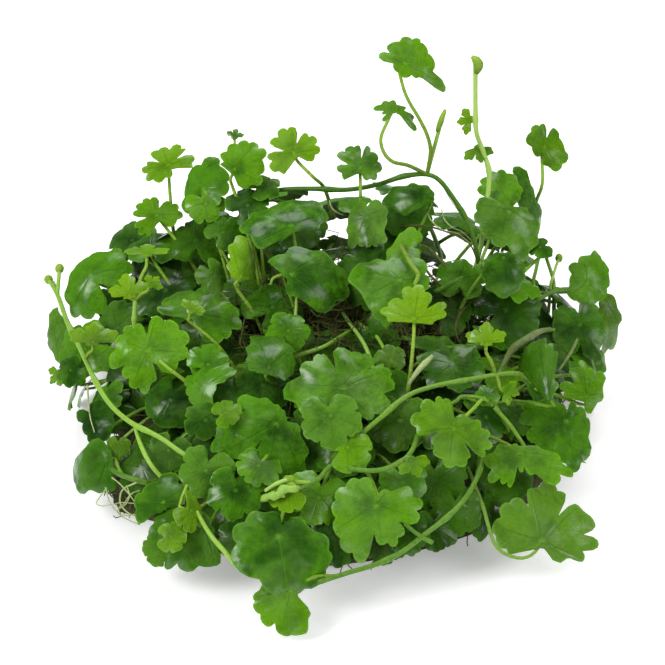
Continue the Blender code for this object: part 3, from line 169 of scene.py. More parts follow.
# One row a leaf: its name, its place across, up and lifted, the blade's radius, the way that its middle lobe
# points, its turn to the right, how far it tips back, and its style
Leaf = namedtuple("Leaf", "name across up lift radius heading turn tip style")
LEAVES = (
    Leaf("leaf_top_bright", -7.7, 56.9, 12, 5.8, 121, 0, 15, "three"),
    Leaf("leaf_top_left", -32.9, 54.5, 12, 5.6, 100, 0, 30, "three"),
    Leaf("leaf_top_low", -35.2, 44.4, 8, 5.3, 143, 0, 20, "three"),
    Leaf("leaf_top_crenate", -19.8, 53.5, 12, 7.4, 50, 0, 20, "bright"),
    Leaf("leaf_top_sheen", -25.6, 49.8, 8, 7.2, 120, -25, 20, "mid"),
    Leaf("leaf_top_middle", 5.5, 53.9, 12, 5.5, 100, 5, 20, "cut"),
    Leaf("leaf_top_creased", 18.7, 48.2, 10, 7.0, 186, 0, 20, "round"),
    Leaf("leaf_top_wet", 6.8, 44.0, 3, 5.8, 270, -15, 20, "grey"),
    Leaf("leaf_top_right", 42.4, 58.1, 18, 5.5, 85, 10, 10, "bright"),
    Leaf("leaf_top_shelf", 35.2, 46.9, 12, 7.4, 110, 0, 15, "mid"),
    Leaf("leaf_top_long", 39.8, 47.4, 8, 7.0, 110, 50, 15, "dark"),
    Leaf("leaf_shoulder_grey", 35.2, 45.4, 7, 8.8, 280, 10, 15, "grey"),
    Leaf("leaf_shoulder_round", 34.2, 36.2, 3, 6.4, 270, 5, 15, "dome"),
    Leaf("leaf_crown_kidney", -8.1, 42.2, 6, 9.2, 110, 0, 38, "broad"),
    Leaf("leaf_crown_dome", -8.4, 32.6, 5, 9.6, 345, 0, 25, "dome"),
    Leaf("leaf_crown_rolled", -18.5, 31.9, 5, 7.2, 90, 30, 15, "folded"),
    Leaf("leaf_crown_hood", 14.4, 37.6, 10, 6.8, 240, 0, 15, "hood"),
    Leaf("leaf_crown_shade", 13.6, 31.4, 3, 8.5, 215, 0, 30, "mid"),
    Leaf("leaf_crown_bright", 16.3, 23.6, 9, 6.6, 90, 0, 20, "fan"),
    Leaf("leaf_left_arch", -48.4, 32.4, 3, 8.4, 135, -20, 25, "dome"),
    Leaf("leaf_left_edge", -55.2, 20.4, 0, 6.0, 120, -40, 10, "grey"),
    Leaf("leaf_left_lobed", -49.4, 17.8, 1, 7.0, 205, -25, 20, "mid"),
    Leaf("leaf_left_large", -36.9, 17.4, 5, 8.0, 145, -8, 15, "cut"),
    Leaf("leaf_left_wide", -27.0, 24.6, 2, 8.0, 75, 0, 32, "mid"),
    Leaf("leaf_left_inner", -25.6, 10.4, 1, 5.4, 240, -25, 20, "mid"),
    Leaf("leaf_left_dark", -47.1, 3.0, 0, 4.6, 150, -20, 20, "dark"),
    Leaf("leaf_left_round", -45.0, -4.4, 1, 7.2, 205, -15, 12, "round"),
    Leaf("leaf_left_glossy", -25.4, -6.6, 2, 5.6, 250, 0, 15, "grey"),
    Leaf("leaf_left_curled", -33.8, -13.0, 3, 5.8, 130, -10, 20, "bright"),
    Leaf("leaf_left_bottom", -25.7, -17.2, 1, 9.0, 220, -8, 12, "dark"),
    Leaf("leaf_centre_round", -12.8, 13.8, 4, 7.0, 80, 8, 22, "dome"),
    Leaf("leaf_centre_large", 2.2, 9.8, 4, 9.5, 110, 0, 30, "mid"),
    Leaf("leaf_centre_wide", -11.1, 2.8, 1, 9.6, 235, 0, 20, "mid"),
    Leaf("leaf_centre_shade", -0.4, 4.4, -2, 6.2, 280, 0, 25, "grey"),
    Leaf("leaf_centre_low", -19.4, -10.6, 2, 6.0, 260, -5, 15, "mid"),
    Leaf("leaf_front_large", -10.8, -19.6, 4, 9.6, 275, 0, 12, "broad"),
    Leaf("leaf_front_bright", 8.7, -13.6, 4, 9.0, 240, 0, 15, "bright"),
    Leaf("leaf_right_cut", 24.2, 1.9, 7, 8.0, 235, 0, 15, "three"),
    Leaf("leaf_right_arch", 37.4, -3.0, 5, 8.6, 290, 0, 20, "bright"),
    Leaf("leaf_right_large", 46.8, 3.4, 3, 8.6, 215, 20, 15, "mid"),
    Leaf("leaf_right_floor", 41.8, -20.8, 3, 10.2, 75, 5, 10, "grey"),
    Leaf("leaf_right_deep", 30.4, -15.0, -2, 5.6, 270, 45, 10, "dark"),
    Leaf("leaf_right_young", 50.7, 8.3, 3, 6.0, 100, 10, 20, "three"),
    Leaf("leaf_right_folded", 43.2, 8.0, 3, 9.0, 97, -20, 15, "folded"),
    Leaf("leaf_right_dark", 49.4, 22.6, 0, 7.6, 170, 5, 20, "dark"),
    Leaf("leaf_right_top", 50.9, 31.0, 6, 6.4, 110, 15, 15, "mid"),
    Leaf("leaf_right_hanging", 54.7, 27.0, 2, 7.6, 275, 25, 10, "grey"),
    Leaf("leaf_right_shelf", 24.0, 14.6, 0, 6.5, 290, 0, 38, "mid"),
)

# Outlines of the leaves that show best, as seen from the front. Each starts at a notch and goes round: the
# notch's direction and reach, then the next tip's, and so on
OUTLINES = {
    "leaf_top_left": (
        -50, 1.0, -8, 5.0, 5, 4.8, 17, 5.5, 38, 1.2, 47, 5.0, 56, 4.5, 66, 5.2, 87, 3.4, 107, 4.3,
        122, 3.9, 143, 4.3, 163, 1.1, 175, 4.3, 184, 4.2, 193, 5.4, 203, 4.4, 213, 5.2, 224, 4.1,
        236, 4.1, 260, 2.6, 278, 2.6,
    ),
    "leaf_top_bright": (
        -40, 1.0, -17, 4.2, -6, 4.2, 7, 5.3, 20, 4.5, 36, 5.4, 48, 4.4, 60, 4.7, 74, 1.3, 93, 5.5,
        106, 4.9, 119, 5.7, 134, 4.6, 151, 5.5, 168, 1.2, 186, 5.4, 200, 4.6, 216, 5.8, 232, 4.8,
        247, 4.8,
    ),
    "leaf_top_low": (
        -60, 1.2, -25, 4.2, -12, 4.3, 2, 5.3, 15, 4.4, 28, 4.8, 39, 3.5, 50, 3.8, 72, 1.3, 100, 3.9,
        112, 3.6, 124, 4.4, 138, 3.9, 154, 4.6, 164, 4.0, 176, 4.8, 192, 1.4, 207, 4.9, 216, 4.2,
        226, 5.0, 238, 4.0, 251, 4.2,
    ),
    "leaf_top_crenate": (
        -85, 1.2, -52, 4.4, -38, 4.6, -24, 6.2, -10, 5.4, 5, 6.2, 18, 6.0, 31, 7.4, 41, 6.5, 51, 7.1,
        61, 6.2, 72, 6.5, 83, 5.5, 95, 5.8, 109, 4.3, 123, 4.4, 140, 2.6, 158, 2.9,
    ),
    "leaf_top_sheen": (
        -60, 4.4, -47, 4.6, -28, 3.7, -4, 5.0, 16, 4.7, 40, 5.6, 58, 5.5, 74, 6.8, 97, 4.7, 122, 4.9,
        150, 4.1, 180, 4.3, 200, 4.5, 222, 6.1, 240, 5.8, 256, 6.6, 266, 6.4, 282, 7.5,
    ),
    "leaf_top_middle": (
        -80, 0.9, -58, 2.9, -46, 2.9, -33, 3.9, -17, 3.5, 3, 4.4, 20, 3.7, 40, 4.2, 57, 3.9, 72, 4.9,
        82, 1.3, 93, 5.0, 103, 4.7, 114, 5.5, 128, 4.6, 145, 5.4, 163, 2.2, 182, 4.7, 198, 3.8, 218, 4.0,
    ),
    "leaf_top_right": (
        -104, 1.2, -88, 3.8, -75, 4.5, -62, 5.6, -45, 5.0, -28, 5.4, -10, 4.4, 9, 4.1, 32, 3.8, 60, 4.6,
        76, 1.3, 92, 4.8, 103, 4.4, 115, 4.9, 131, 4.1, 150, 4.2, 180, 2.6, 222, 2.6,
    ),
    "leaf_top_shelf": (
        -60, 1.2, 20, 2.6, 35, 3.2, 52, 4.2, 67, 5.0, 82, 6.4, 91, 6.3, 100, 7.4, 108, 6.9, 117, 7.6,
        126, 6.9, 136, 7.4, 145, 6.4, 154, 6.8, 166, 4.6, 180, 3.4, 200, 1.8, 218, 1.6,
    ),
    "leaf_shoulder_grey": (
        60, 1.0, 105, 1.7, 130, 1.9, 168, 6.6, 180, 6.2, 192, 7.0, 205, 6.4, 222, 7.0, 237, 6.6, 253, 7.7,
        267, 7.0, 286, 10.6, 296, 9.2, 309, 9.0, 321, 7.5, 336, 7.2, 350, 5.0, 370, 3.8,
    ),
    "leaf_crown_kidney": (
        -60, 1.2, -5, 5.4, 6, 5.8, 20, 7.4, 31, 7.0, 42, 7.2, 60, 6.1, 79, 5.8, 99, 5.5, 121, 6.2,
        138, 6.6, 155, 8.4, 168, 8.8, 181, 10.5, 194, 8.6, 209, 8.4, 223, 4.8, 236, 3.4,
    ),
    "leaf_crown_dome": (
        -120, 1.2, -85, 4.2, -62, 6.0, -40, 10.4, -30, 10.2, -18, 12.0, -8, 11.2, 3, 11.6, 16, 9.2,
        30, 8.4, 48, 6.5, 72, 5.8, 105, 4.2, 150, 5.2,
    ),
    "leaf_crown_rolled": (
        -30, 1.2, 10, 2.6, 28, 3.0, 46, 3.9, 57, 4.8, 68, 6.3, 78, 7.1, 90, 8.4, 99, 7.6, 108, 6.9,
        118, 5.1, 130, 3.8, 152, 2.7, 182, 2.0,
    ),
    "leaf_crown_bright": (
        -60, 0.8, -14, 3.6, 0, 4.4, 12, 6.3, 19, 5.9, 27, 6.9, 40, 2.9, 56, 5.6, 67, 5.4, 80, 6.7,
        92, 5.9, 103, 6.6, 118, 4.2, 138, 6.0, 150, 5.5, 162, 6.6, 173, 5.2, 184, 5.0,
    ),
    "leaf_left_arch": (
        -45, 1.3, -10, 7.2, 0, 7.3, 10, 8.7, 24, 7.6, 40, 8.1, 54, 6.1, 70, 5.3, 100, 4.0, 130, 3.8,
        160, 3.9, 190, 4.8, 206, 5.6, 222, 7.2, 233, 7.4, 244, 9.0, 256, 8.2, 268, 8.8, 278, 7.7,
        290, 8.0,
    ),
    "leaf_left_large": (
        -66, 1.8, -34, 6.7, -20, 6.4, -5, 7.9, 7, 7.1, 20, 8.3, 36, 7.1, 54, 7.6, 65, 6.5, 78, 7.0,
        95, 2.4, 113, 5.6, 124, 5.2, 136, 6.3, 147, 5.6, 160, 6.7, 176, 6.2, 202, 8.1, 211, 5.2, 227, 6.9,
        236, 6.4, 246, 7.8, 255, 7.1, 264, 8.1, 274, 6.6, 284, 6.0,
    ),
    "leaf_front_large": (
        70, 1.3, 110, 4.6, 128, 5.4, 146, 6.7, 158, 6.6, 174, 8.5, 191, 7.8, 213, 9.8, 246, 8.7,
        280, 11.1, 297, 10.5, 315, 11.3, 325, 10.6, 336, 10.7, 343, 9.6, 351, 9.4, 366, 6.6, 388, 5.4,
    ),
    "leaf_front_bright": (
        85, 1.2, 114, 5.6, 123, 5.6, 135, 6.7, 149, 6.5, 163, 7.8, 173, 7.4, 183, 8.2, 198, 7.8, 212, 9.0,
        222, 8.8, 233, 10.0, 243, 9.4, 254, 10.6, 266, 5.0, 280, 7.2, 287, 7.0, 295, 8.2, 304, 7.1,
        313, 7.4, 325, 5.2, 342, 8.4, 352, 7.5, 363, 8.7, 373, 7.0, 385, 7.2, 398, 4.4, 410, 3.6,
    ),
    "leaf_right_cut": (
        84, 1.4, 104, 5.6, 110, 5.5, 117, 6.4, 126, 5.6, 139, 7.5, 153, 6.6, 168, 8.2, 179, 6.8, 188, 6.9,
        197, 2.8, 214, 4.9, 223, 4.9, 236, 6.1, 250, 6.0, 263, 7.3, 273, 6.8, 285, 7.3, 294, 6.2,
        299, 6.2, 307, 2.9, 317, 7.8, 324, 7.0, 333, 8.0, 342, 6.6, 350, 6.9, 360, 5.1, 372, 5.2,
        384, 3.6, 398, 3.4,
    ),
    "leaf_right_arch": (
        90, 1.2, 135, 2.0, 150, 2.6, 166, 4.4, 180, 5.0, 195, 6.8, 210, 6.0, 223, 7.8, 232, 5.8, 240, 6.6,
        246, 5.8, 253, 6.6, 262, 2.4, 275, 3.7, 286, 2.7, 298, 4.8, 306, 5.0, 322, 9.4, 330, 8.6,
        337, 11.0, 345, 8.4, 353, 7.8, 366, 4.8, 380, 3.8,
    ),
    "leaf_right_large": (
        85, 1.2, 108, 3.4, 122, 4.3, 137, 6.1, 146, 6.5, 157, 8.9, 166, 8.0, 176, 9.1, 188, 6.4, 204, 7.8,
        216, 7.1, 230, 8.1, 243, 7.3, 257, 8.2, 266, 8.5, 276, 10.2, 286, 8.7, 299, 8.5, 325, 5.5,
        353, 5.0, 370, 4.1, 388, 4.2, 410, 3.3, 430, 3.8,
    ),
    "leaf_right_floor": (
        -70, 1.2, -38, 5.6, -31, 6.2, -24, 8.8, -14, 8.0, -4, 10.8, 8, 8.1, 17, 10.8, 30, 10.2, 42, 9.8,
        55, 5.8, 62, 10.4, 69, 10.2, 78, 11.8, 89, 10.3, 100, 10.0, 110, 6.8, 122, 9.4, 130, 9.2,
        138, 9.9, 150, 8.7, 163, 9.6, 173, 8.5, 183, 8.4, 192, 6.6, 202, 6.6,
    ),
    "leaf_top_creased": (
        -70, 1.2, -36, 1.8, 0, 1.6, 30, 1.8, 60, 1.8, 100, 2.4, 122, 2.9, 144, 4.2, 156, 5.4, 167, 7.0,
        176, 7.6, 186, 8.7, 193, 7.9, 200, 7.7, 209, 6.3, 218, 5.9, 227, 4.0, 238, 3.1,
    ),
    "leaf_left_edge": (
        -20, 2.0, 30, 3.0, 62, 3.6, 98, 6.1, 125, 3.0, 150, 2.2, 200, 2.0, 245, 3.2, 260, 3.8, 278, 5.6,
        290, 5.4, 306, 7.6,
    ),
    "leaf_left_dark": (
        -30, 3.2, -2, 3.5, 20, 3.3, 45, 4.5, 75, 3.4, 103, 4.6, 130, 2.6, 157, 4.4, 185, 2.8, 212, 3.3,
        232, 3.2, 255, 4.2, 275, 3.4, 301, 3.8,
    ),
    "leaf_left_round": (
        20, 1.0, 70, 1.9, 100, 3.2, 146, 4.9, 165, 5.5, 205, 8.7, 213, 8.4, 222, 8.8, 238, 6.8, 253, 6.7,
        265, 5.8, 279, 6.1, 292, 3.4, 304, 2.5,
    ),
    "leaf_left_curled": (
        -60, 1.2, -5, 4.0, 12, 4.1, 32, 5.0, 55, 4.4, 84, 6.1, 108, 4.2, 140, 4.4, 158, 4.3, 176, 5.5,
        195, 5.3, 214, 6.2, 228, 3.0, 252, 2.0,
    ),
    "leaf_left_bottom": (
        -20, 1.4, 40, 1.6, 90, 2.0, 139, 4.5, 155, 6.2, 170, 9.4, 181, 9.4, 192, 11.0, 203, 10.6,
        214, 12.4, 221, 9.4, 229, 11.2, 236, 9.0, 244, 9.6, 262, 7.8, 287, 8.0, 303, 4.2, 325, 2.4,
    ),
    "leaf_right_top": (
        -60, 4.4, -38, 4.8, -15, 4.4, 12, 5.1, 24, 5.2, 36, 5.9, 54, 5.8, 70, 6.7, 84, 5.4, 98, 5.4,
        114, 4.4, 130, 5.0, 150, 3.5, 180, 3.6, 198, 4.1, 218, 4.8, 240, 4.4, 270, 4.7,
    ),
    "leaf_right_hanging": (
        160, 1.2, 200, 1.6, 235, 3.0, 258, 7.6, 264, 8.3, 270, 11.0, 277, 9.3, 284, 9.6, 293, 7.2,
        304, 5.2, 335, 2.8, 375, 2.2, 420, 2.0, 486, 2.8,
    ),
    "leaf_right_young": (
        -110, 1.2, -74, 3.5, -30, 2.6, 6, 3.5, 30, 4.0, 58, 5.7, 67, 3.2, 76, 5.6, 84, 5.5, 94, 7.2,
        102, 5.8, 110, 6.2, 130, 3.2, 155, 5.5, 169, 4.3, 184, 4.5,
    ),
    "leaf_crown_hood": (
        -70, 2.4, -33, 3.5, -24, 3.2, -12, 3.2, 13, 1.6, 45, 4.5, 56, 4.3, 68, 4.6, 88, 3.7, 105, 3.3,
        165, 2.5, 202, 3.7, 214, 5.2, 226, 7.4, 233, 6.6, 240, 6.0, 249, 5.5, 260, 5.7, 269, 5.2,
        278, 4.5,
    ),
    "leaf_crown_shade": (
        -60, 4.2, -14, 5.7, -6, 5.4, 2, 5.7, 14, 4.9, 40, 5.8, 75, 4.0, 110, 4.6, 125, 5.2, 141, 7.0,
        147, 7.4, 156, 9.0, 161, 9.3, 169, 10.0, 190, 8.8, 207, 8.0, 226, 8.0, 236, 8.7, 243, 8.5,
        250, 9.0, 262, 4.6, 285, 4.4,
    ),
    "leaf_top_wet": (
        85, 2.2, 115, 3.4, 130, 3.2, 149, 3.5, 168, 3.4, 191, 3.8, 204, 4.2, 218, 4.9, 228, 5.6, 240, 6.6,
        252, 5.4, 262, 5.9, 267, 5.6, 273, 6.1, 282, 5.5, 288, 6.1, 296, 5.5, 305, 6.4, 320, 4.6,
        340, 4.0, 364, 3.8, 388, 4.4, 400, 4.0, 412, 4.2,
    ),
    "leaf_centre_round": (
        -112, 1.1, -46, 2.4, -40, 3.4, -30, 4.0, -20, 4.3, -8, 4.8, 4, 4.7, 17, 5.1, 30, 5.2, 42, 6.0,
        58, 5.9, 72, 6.9, 80, 7.6, 92, 8.9, 102, 8.1, 112, 7.7, 121, 6.6, 132, 5.9, 143, 5.0, 155, 4.6,
        168, 4.0, 182, 3.8, 190, 3.1, 200, 2.4,
    ),
    "leaf_centre_large": (
        -110, 1.6, -64, 4.6, -59, 6.0, -48, 7.8, -38, 7.4, -22, 9.4, -6, 7.5, 9, 9.8, 16, 9.2, 22, 9.6,
        28, 8.6, 33, 8.8, 38, 5.4, 43, 9.1, 50, 8.1, 56, 8.6, 63, 7.7, 69, 8.0, 79, 7.3, 98, 7.7,
        113, 3.7, 121, 7.4, 124, 7.2, 129, 7.9, 140, 7.5, 153, 8.8, 164, 8.3, 177, 11.4, 193, 9.2,
        204, 9.0, 211, 8.2, 219, 8.6, 229, 5.0, 240, 3.0,
    ),
    "leaf_centre_wide": (
        10, 2.0, 60, 2.8, 78, 3.0, 95, 3.6, 105, 4.2, 120, 5.4, 132, 6.4, 148, 8.6, 160, 6.6, 171, 7.4,
        176, 9.0, 186, 11.6, 190, 11.8, 197, 13.2, 203, 12.2, 209, 12.4, 217, 10.8, 222, 9.8, 229, 4.4,
        240, 7.2, 250, 7.9, 260, 9.1, 266, 9.2, 274, 10.3, 279, 10.3, 286, 11.3, 293, 10.6, 299, 10.7,
        306, 8.8, 313, 8.2, 325, 6.4, 341, 4.6,
    ),
    "leaf_left_wide": (
        -140, 1.4, -84, 3.4, -78, 4.4, -68, 5.6, -60, 6.2, -50, 7.1, -43, 7.0, -35, 7.8, -25, 7.2,
        -12, 8.8, -4, 8.0, 6, 8.0, 14, 7.0, 24, 6.6, 40, 5.4, 56, 5.4, 72, 5.0, 88, 5.5, 98, 4.8,
        112, 5.4, 124, 5.8, 136, 6.6, 145, 6.8, 156, 7.7, 165, 7.2, 174, 8.0, 186, 5.0, 200, 2.6,
    ),
    "leaf_left_inner": (
        5, 2.4, 14, 4.2, 18, 4.6, 28, 6.4, 40, 5.8, 53, 6.2, 60, 6.0, 68, 6.7, 75, 6.2, 84, 6.4, 92, 5.9,
        100, 6.3, 108, 5.8, 118, 6.2, 140, 3.0, 165, 4.2, 185, 3.4, 203, 3.8, 215, 3.6, 230, 4.2,
        246, 4.4, 263, 5.6, 272, 5.4, 281, 6.1, 295, 4.0, 320, 2.4,
    ),
    "leaf_shoulder_round": (
        60, 0.9, 160, 2.0, 180, 2.8, 205, 4.4, 214, 4.9, 226, 5.9, 236, 6.3, 246, 7.2, 258, 7.5, 270, 8.2,
        280, 7.6, 291, 7.4, 301, 6.6, 312, 6.2, 323, 5.4, 334, 5.0, 347, 3.8, 361, 3.1, 378, 2.0,
        397, 1.5,
    ),
    "leaf_top_long": (
        0, 1.0, 80, 2.6, 95, 3.4, 117, 7.7, 126, 5.6, 134, 4.8, 165, 3.0, 206, 3.0, 228, 4.0, 248, 5.2,
        258, 5.8, 271, 6.8, 277, 7.0, 284, 7.7, 291, 6.6, 297, 6.0, 305, 4.6, 312, 3.7,
    ),
    "leaf_right_folded": (
        -90, 0.9, -20, 1.0, 30, 1.4, 62, 3.4, 72, 7.0, 76, 8.8, 80, 8.6, 84, 10.2, 90, 9.8, 97, 12.2,
        104, 11.4, 113, 12.0, 119, 9.6, 127, 9.4, 135, 5.0, 150, 1.8,
    ),
    "leaf_right_dark": (
        94, 2.1, 120, 3.9, 128, 4.3, 137, 5.3, 146, 5.2, 154, 5.8, 167, 5.2, 182, 5.4, 195, 5.3, 210, 5.9,
        221, 5.8, 231, 6.4, 241, 5.8, 251, 6.0, 272, 3.9, 284, 6.8, 288, 7.4, 297, 8.8, 307, 6.4,
        331, 6.0, 350, 5.0, 367, 5.0, 390, 4.6, 409, 5.4, 421, 5.0, 433, 5.4,
    ),
    "floor": (
        150, 0.9, 176, 5.6, 184, 6.5, 192, 7.1, 198, 6.9, 206, 7.6, 218, 7.1, 233, 7.9, 244, 6.6,
        258, 8.1, 270, 7.7, 288, 7.9, 298, 6.8, 307, 5.8, 320, 1.6, 342, 1.3,
    ),
    "top": (
        -58, 2.6, -46, 3.8, -38, 4.6, -27, 9.6, -12, 5.8, 8, 6.1, 26, 5.3, 46, 5.6, 53, 5.3, 62, 5.8,
        73, 5.3, 84, 5.7, 101, 4.8, 124, 5.2, 141, 3.7, 159, 5.4, 180, 2.2, 212, 2.4, 240, 2.1, 268, 2.8,
    ),
    "hanging": (
        80, 0.8, 118, 1.9, 134, 2.0, 152, 3.0, 162, 3.1, 176, 4.5, 192, 2.5, 202, 3.0, 211, 2.3, 226, 3.8,
        244, 0.9, 258, 1.1, 270, 0.8, 292, 1.3, 301, 1.8, 316, 5.6, 325, 4.0, 334, 4.0, 347, 1.6,
        370, 2.0,
    ),
}

# Stalks that show: points across, up and lift down from the blade, the last one where the stalk ends
STALKS = {
    "leaf_top_bright": ((-5.6, 52.0, 8), (-3.4, 49.8, 4), (-1.5, 44.0, -4)),
    "leaf_top_left": ((-32.6, 50.0, 8), (-31.8, 41.2, 0), (-30.0, 34.0, -8)),
    "leaf_top_middle": ((5.6, 48.4, 8), (5.8, 42.0, 0), (6.0, 36.0, -8)),
    "leaf_top_right": ((42.0, 51.0, 14), (40.8, 47.4, 8), (38.0, 40.0, -2)),
    "leaf_crown_bright": ((16.2, 20.0, 7), (15.6, 13.0, 4), (15.0, 9.0, 1)),
    "leaf_left_large": ((-33.0, 14.0, 3), (-28.4, 10.4, -1), (-24.0, 6.0, -8)),
    "leaf_left_round": ((-42.0, -7.4, 0), (-38.0, -9.0, -2), (-33.0, -8.0, -6)),
    "leaf_right_floor": (
        (39.6, -23.6, 2), (36.6, -24.0, 2), (32.6, -21.6, 2), (30.0, -13.6, 0), (27.0, -6.0, -6),
    ),
    "top": (
        (14.2, 69.8, 24), (15.4, 67.0, 22), (17.2, 64.0, 20), (18.8, 60.8, 18), (19.6, 57.4, 15.5),
        (19.4, 53.2, 13),
    ),
    "hanging": (
        (11.0, 63.2, 18.5), (9.7, 60.0, 17), (10.2, 57.2, 15.5), (12.0, 55.2, 14.5), (15.2, 54.4, 13.5),
        (18.8, 53.0, 13),
    ),
    "leaf_right_cut": ((28.0, 5.6, 6), (31.0, 8.0, 4), (34.0, 4.0, 0), (36.0, -1.0, -8)),
}

# One row a shoot: its creeping stem's points across, up and lift, then its leaves and its buds
Shoot = namedtuple("Shoot", "name stem leaves buds")
SHOOTS = (
    Shoot(
        "runner_top",
        ((-15, 48.6, 3), (-7.6, 49.8, 5), (3.6, 49.6, 6), (11.6, 51.2, 8), (19.4, 52.8, 12), (26.4, 44.4, 6),
         (28.6, 38, 2), (29.6, 32, -6)),
        (
            Leaf("top", 14.4, 74.7, 28, 7.4, 340, 10, 20, "bright"),
            Leaf("hanging", 12.7, 65.8, 20, 5.2, 300, 0, 20, "cut"),
        ),
        ((22.2, 64.8, 20),),
    ),
    Shoot(
        "shoot_tall",
        ((28.6, 74.6, 32), (28.6, 67, 26), (28.8, 61, 21), (30.2, 57, 17), (31.4, 52, 13), (30.4, 44, 6),
         (29.6, 38, 0), (28, 32, -7)),
        (
            Leaf("side", 27.6, 63.6, 22, 3.2, 190, -20, 15, "fan"),
            Leaf("node", 29.2, 58.0, 17, 3.6, 280, 0, 15, "fan"),
        ),
        ((28.8, 76.0, 33),),
    ),
    Shoot(
        "runner_right",
        ((0, -4, -3), (6.6, 1.4, 4), (16.2, 9.2, 5), (21.6, 10.4, 5), (29.6, 12, 5), (36, 12.8, 5),
         (39.6, 11.6, 4), (43, 7.4, 0), (44, 2, -8)),
        (
            Leaf("round", 30.8, 19.0, 9, 4.6, 90, 0, 20, "fan"),
            Leaf("small", 34.6, 9.6, 6, 3.0, 340, 0, 30, "fan"),
        ),
        (),
    ),
    Shoot(
        "runner_left",
        ((-56.0, 31.0, 6), (-54.4, 27, 6), (-52.6, 22, 6), (-50.2, 17.4, 5), (-47.6, 11.6, 4),
         (-43.4, 5.4, 3), (-38, 1.6, 3), (-33.4, -0.6, 2), (-27.8, -4.4, 0), (-22, -6, -7)),
        (Leaf("bright", -48.0, 19.0, 8, 5.4, 90, 0, 25, "fan"),),
        ((-56.8, 31.6, 6), (-54.6, 33.8, 7)),
    ),
    Shoot(
        "runner_front",
        ((-3, -29, 1.5), (2.6, -27.2, 2), (8.6, -25.4, 3), (12.8, -23.6, 3), (20.2, -18, 2),
         (24.6, -14.4, 2), (27.8, -10.2, 1), (30, -4.6, -2), (30, 0, -9)),
        (Leaf("floor", -8.3, -30.5, 1.5, 7.4, 250, 0, 20, "bright"),),
        (),
    ),
    Shoot(
        "runner_middle",
        ((-7, -10.4, 6), (-3, -8.4, 5), (0, -5.6, 3), (7.6, -6.8, 4), (14.4, -4.4, 6), (17, 0, 0),
         (18, 2, -9)),
        (
            Leaf("pale", -9.0, -11.4, 7, 3.8, 200, 0, 20, "bright"),
            Leaf("curly", 15.6, -4.4, 7, 3.8, 300, 10, 25, "fan"),
            Leaf("glossy", 3.0, -2.0, 4, 5.0, 20, 0, 25, "bright"),
        ),
        ((-8.4, -8.8, 7),),
    ),
    Shoot(
        "shoot_left",
        ((-39.4, 28.6, 9), (-39.6, 22, 5), (-38, 16, -2), (-35, 10, -9)),
        (
            Leaf("pair", -40.6, 28.4, 10, 5.0, 100, 0, 25, "fan"),
            Leaf("twin", -36.4, 30.6, 10, 2.6, 45, 0, 25, "fan"),
            Leaf("edge", -37.2, 36.6, 9, 4.8, 90, 0, 52, "fan"),
        ),
        (),
    ),
)

# How pale a creeping stem is, from 0 to 1; shoot_tall's full paleness is partly painted light
STEM_SHADES = {
    "runner_top": 0.05, "shoot_tall": 1.0, "shoot_left": 0.8, "runner_left": 0.7, "runner_right": 0.45,
}
USUAL_STEM_SHADE = 0.28

# Creeping stems whose finish isn't the usual one; pale_stem's paleness is partly the stem's own and partly
# painted light
STEM_LOOKS = {"shoot_tall": "pale_stem"}

# Buds that aren't round, by their shoot: radii along the bud, and its points across, up and lift
LONG_BUDS = {
    "runner_top": (
        (0.42, 0.60, 0.62, 0.50, 0.34),
        ((21.0, 61.4, 20), (21.6, 63.0, 20), (22.0, 64.2, 20), (22.5, 65.4, 20)),
    ),
    "shoot_tall": (
        (0.50, 0.86, 1.04, 0.90, 0.36),
        ((28.7, 72.8, 32), (29.2, 74.2, 33), (28.9, 75.2, 33), (27.9, 76.2, 33)),
    ),
}

# Leaves whose finish isn't the usual one of their style
LEAF_LOOKS = {
    "hanging": "leaf_fresh", "leaf_top_middle": "leaf_fresh", "leaf_right_folded": "leaf_old",
    "leaf_crown_rolled": "leaf_young", "leaf_top_long": "leaf_grown", "leaf_left_large": "leaf_fresh",
    "leaf_top_shelf": "leaf_fresh", "leaf_right_top": "leaf_grown", "pale": "leaf_young",
    "glossy": "leaf_fresh", "low_b": "leaf_young", "low_d": "leaf_young", "centre_c": "leaf_young",
    "top_b": "leaf_fresh",
    "leaf_centre_round": "leaf_old", "leaf_right_shelf": "leaf_old", "leaf_left_wide": "leaf_grown",
    "leaf_top_bright": "leaf_young", "leaf_top_left": "leaf_young",
}
# How light a leaf is, from 0 to 1, where it stands out; the others vary freely
LEAF_LIGHTS = {
    "leaf_centre_wide": 0.5, "leaf_centre_shade": 0.7, "leaf_right_floor": 0.85, "leaf_left_wide": 0.35,
    "leaf_crown_dome": 0.15, "leaf_centre_round": 0.7, "leaf_crown_hood": 0.8, "leaf_crown_shade": 0.45,
    "leaf_right_shelf": 0.5, "leaf_front_large": 0.25, "leaf_front_bright": 0.65, "leaf_right_arch": 0.6,
    "leaf_right_large": 0.4, "leaf_top_creased": 0.6, "leaf_right_top": 0.65, "leaf_shoulder_grey": 0.6,
    "leaf_centre_large": 0.4, "leaf_left_glossy": 0.6, "leaf_left_bottom": 0.6, "leaf_crown_kidney": 0.2,
    "leaf_right_dark": 0.45, "top": 0.7, "hanging": 0.7, "leaf_top_wet": 0.5, "leaf_left_arch": 0.75,
    "leaf_top_bright": 0.7, "leaf_top_left": 0.7, "pair": 0.8, "round": 0.9, "floor": 0.7, "glossy": 0.8,
}

# The side that the front view hides: shoots that arch down from the mat, by direction, reach and height
BackShoot = namedtuple("BackShoot", "name direction reach height")
BACK_SHOOTS = (
    BackShoot("shoot_back_right", 30, 50, 25),
    BackShoot("shoot_back_middle_right", 63, 52, 28),
    BackShoot("shoot_back_middle_left", 97, 52, 27),
    BackShoot("shoot_back_left", 132, 51, 26),
)
# Such a shoot's course, as shares of its reach and height
BACK_COURSE = ((0.40, 0.68), (0.60, 0.92), (0.80, 0.95), (0.93, 0.62), (1.0, 0.24))
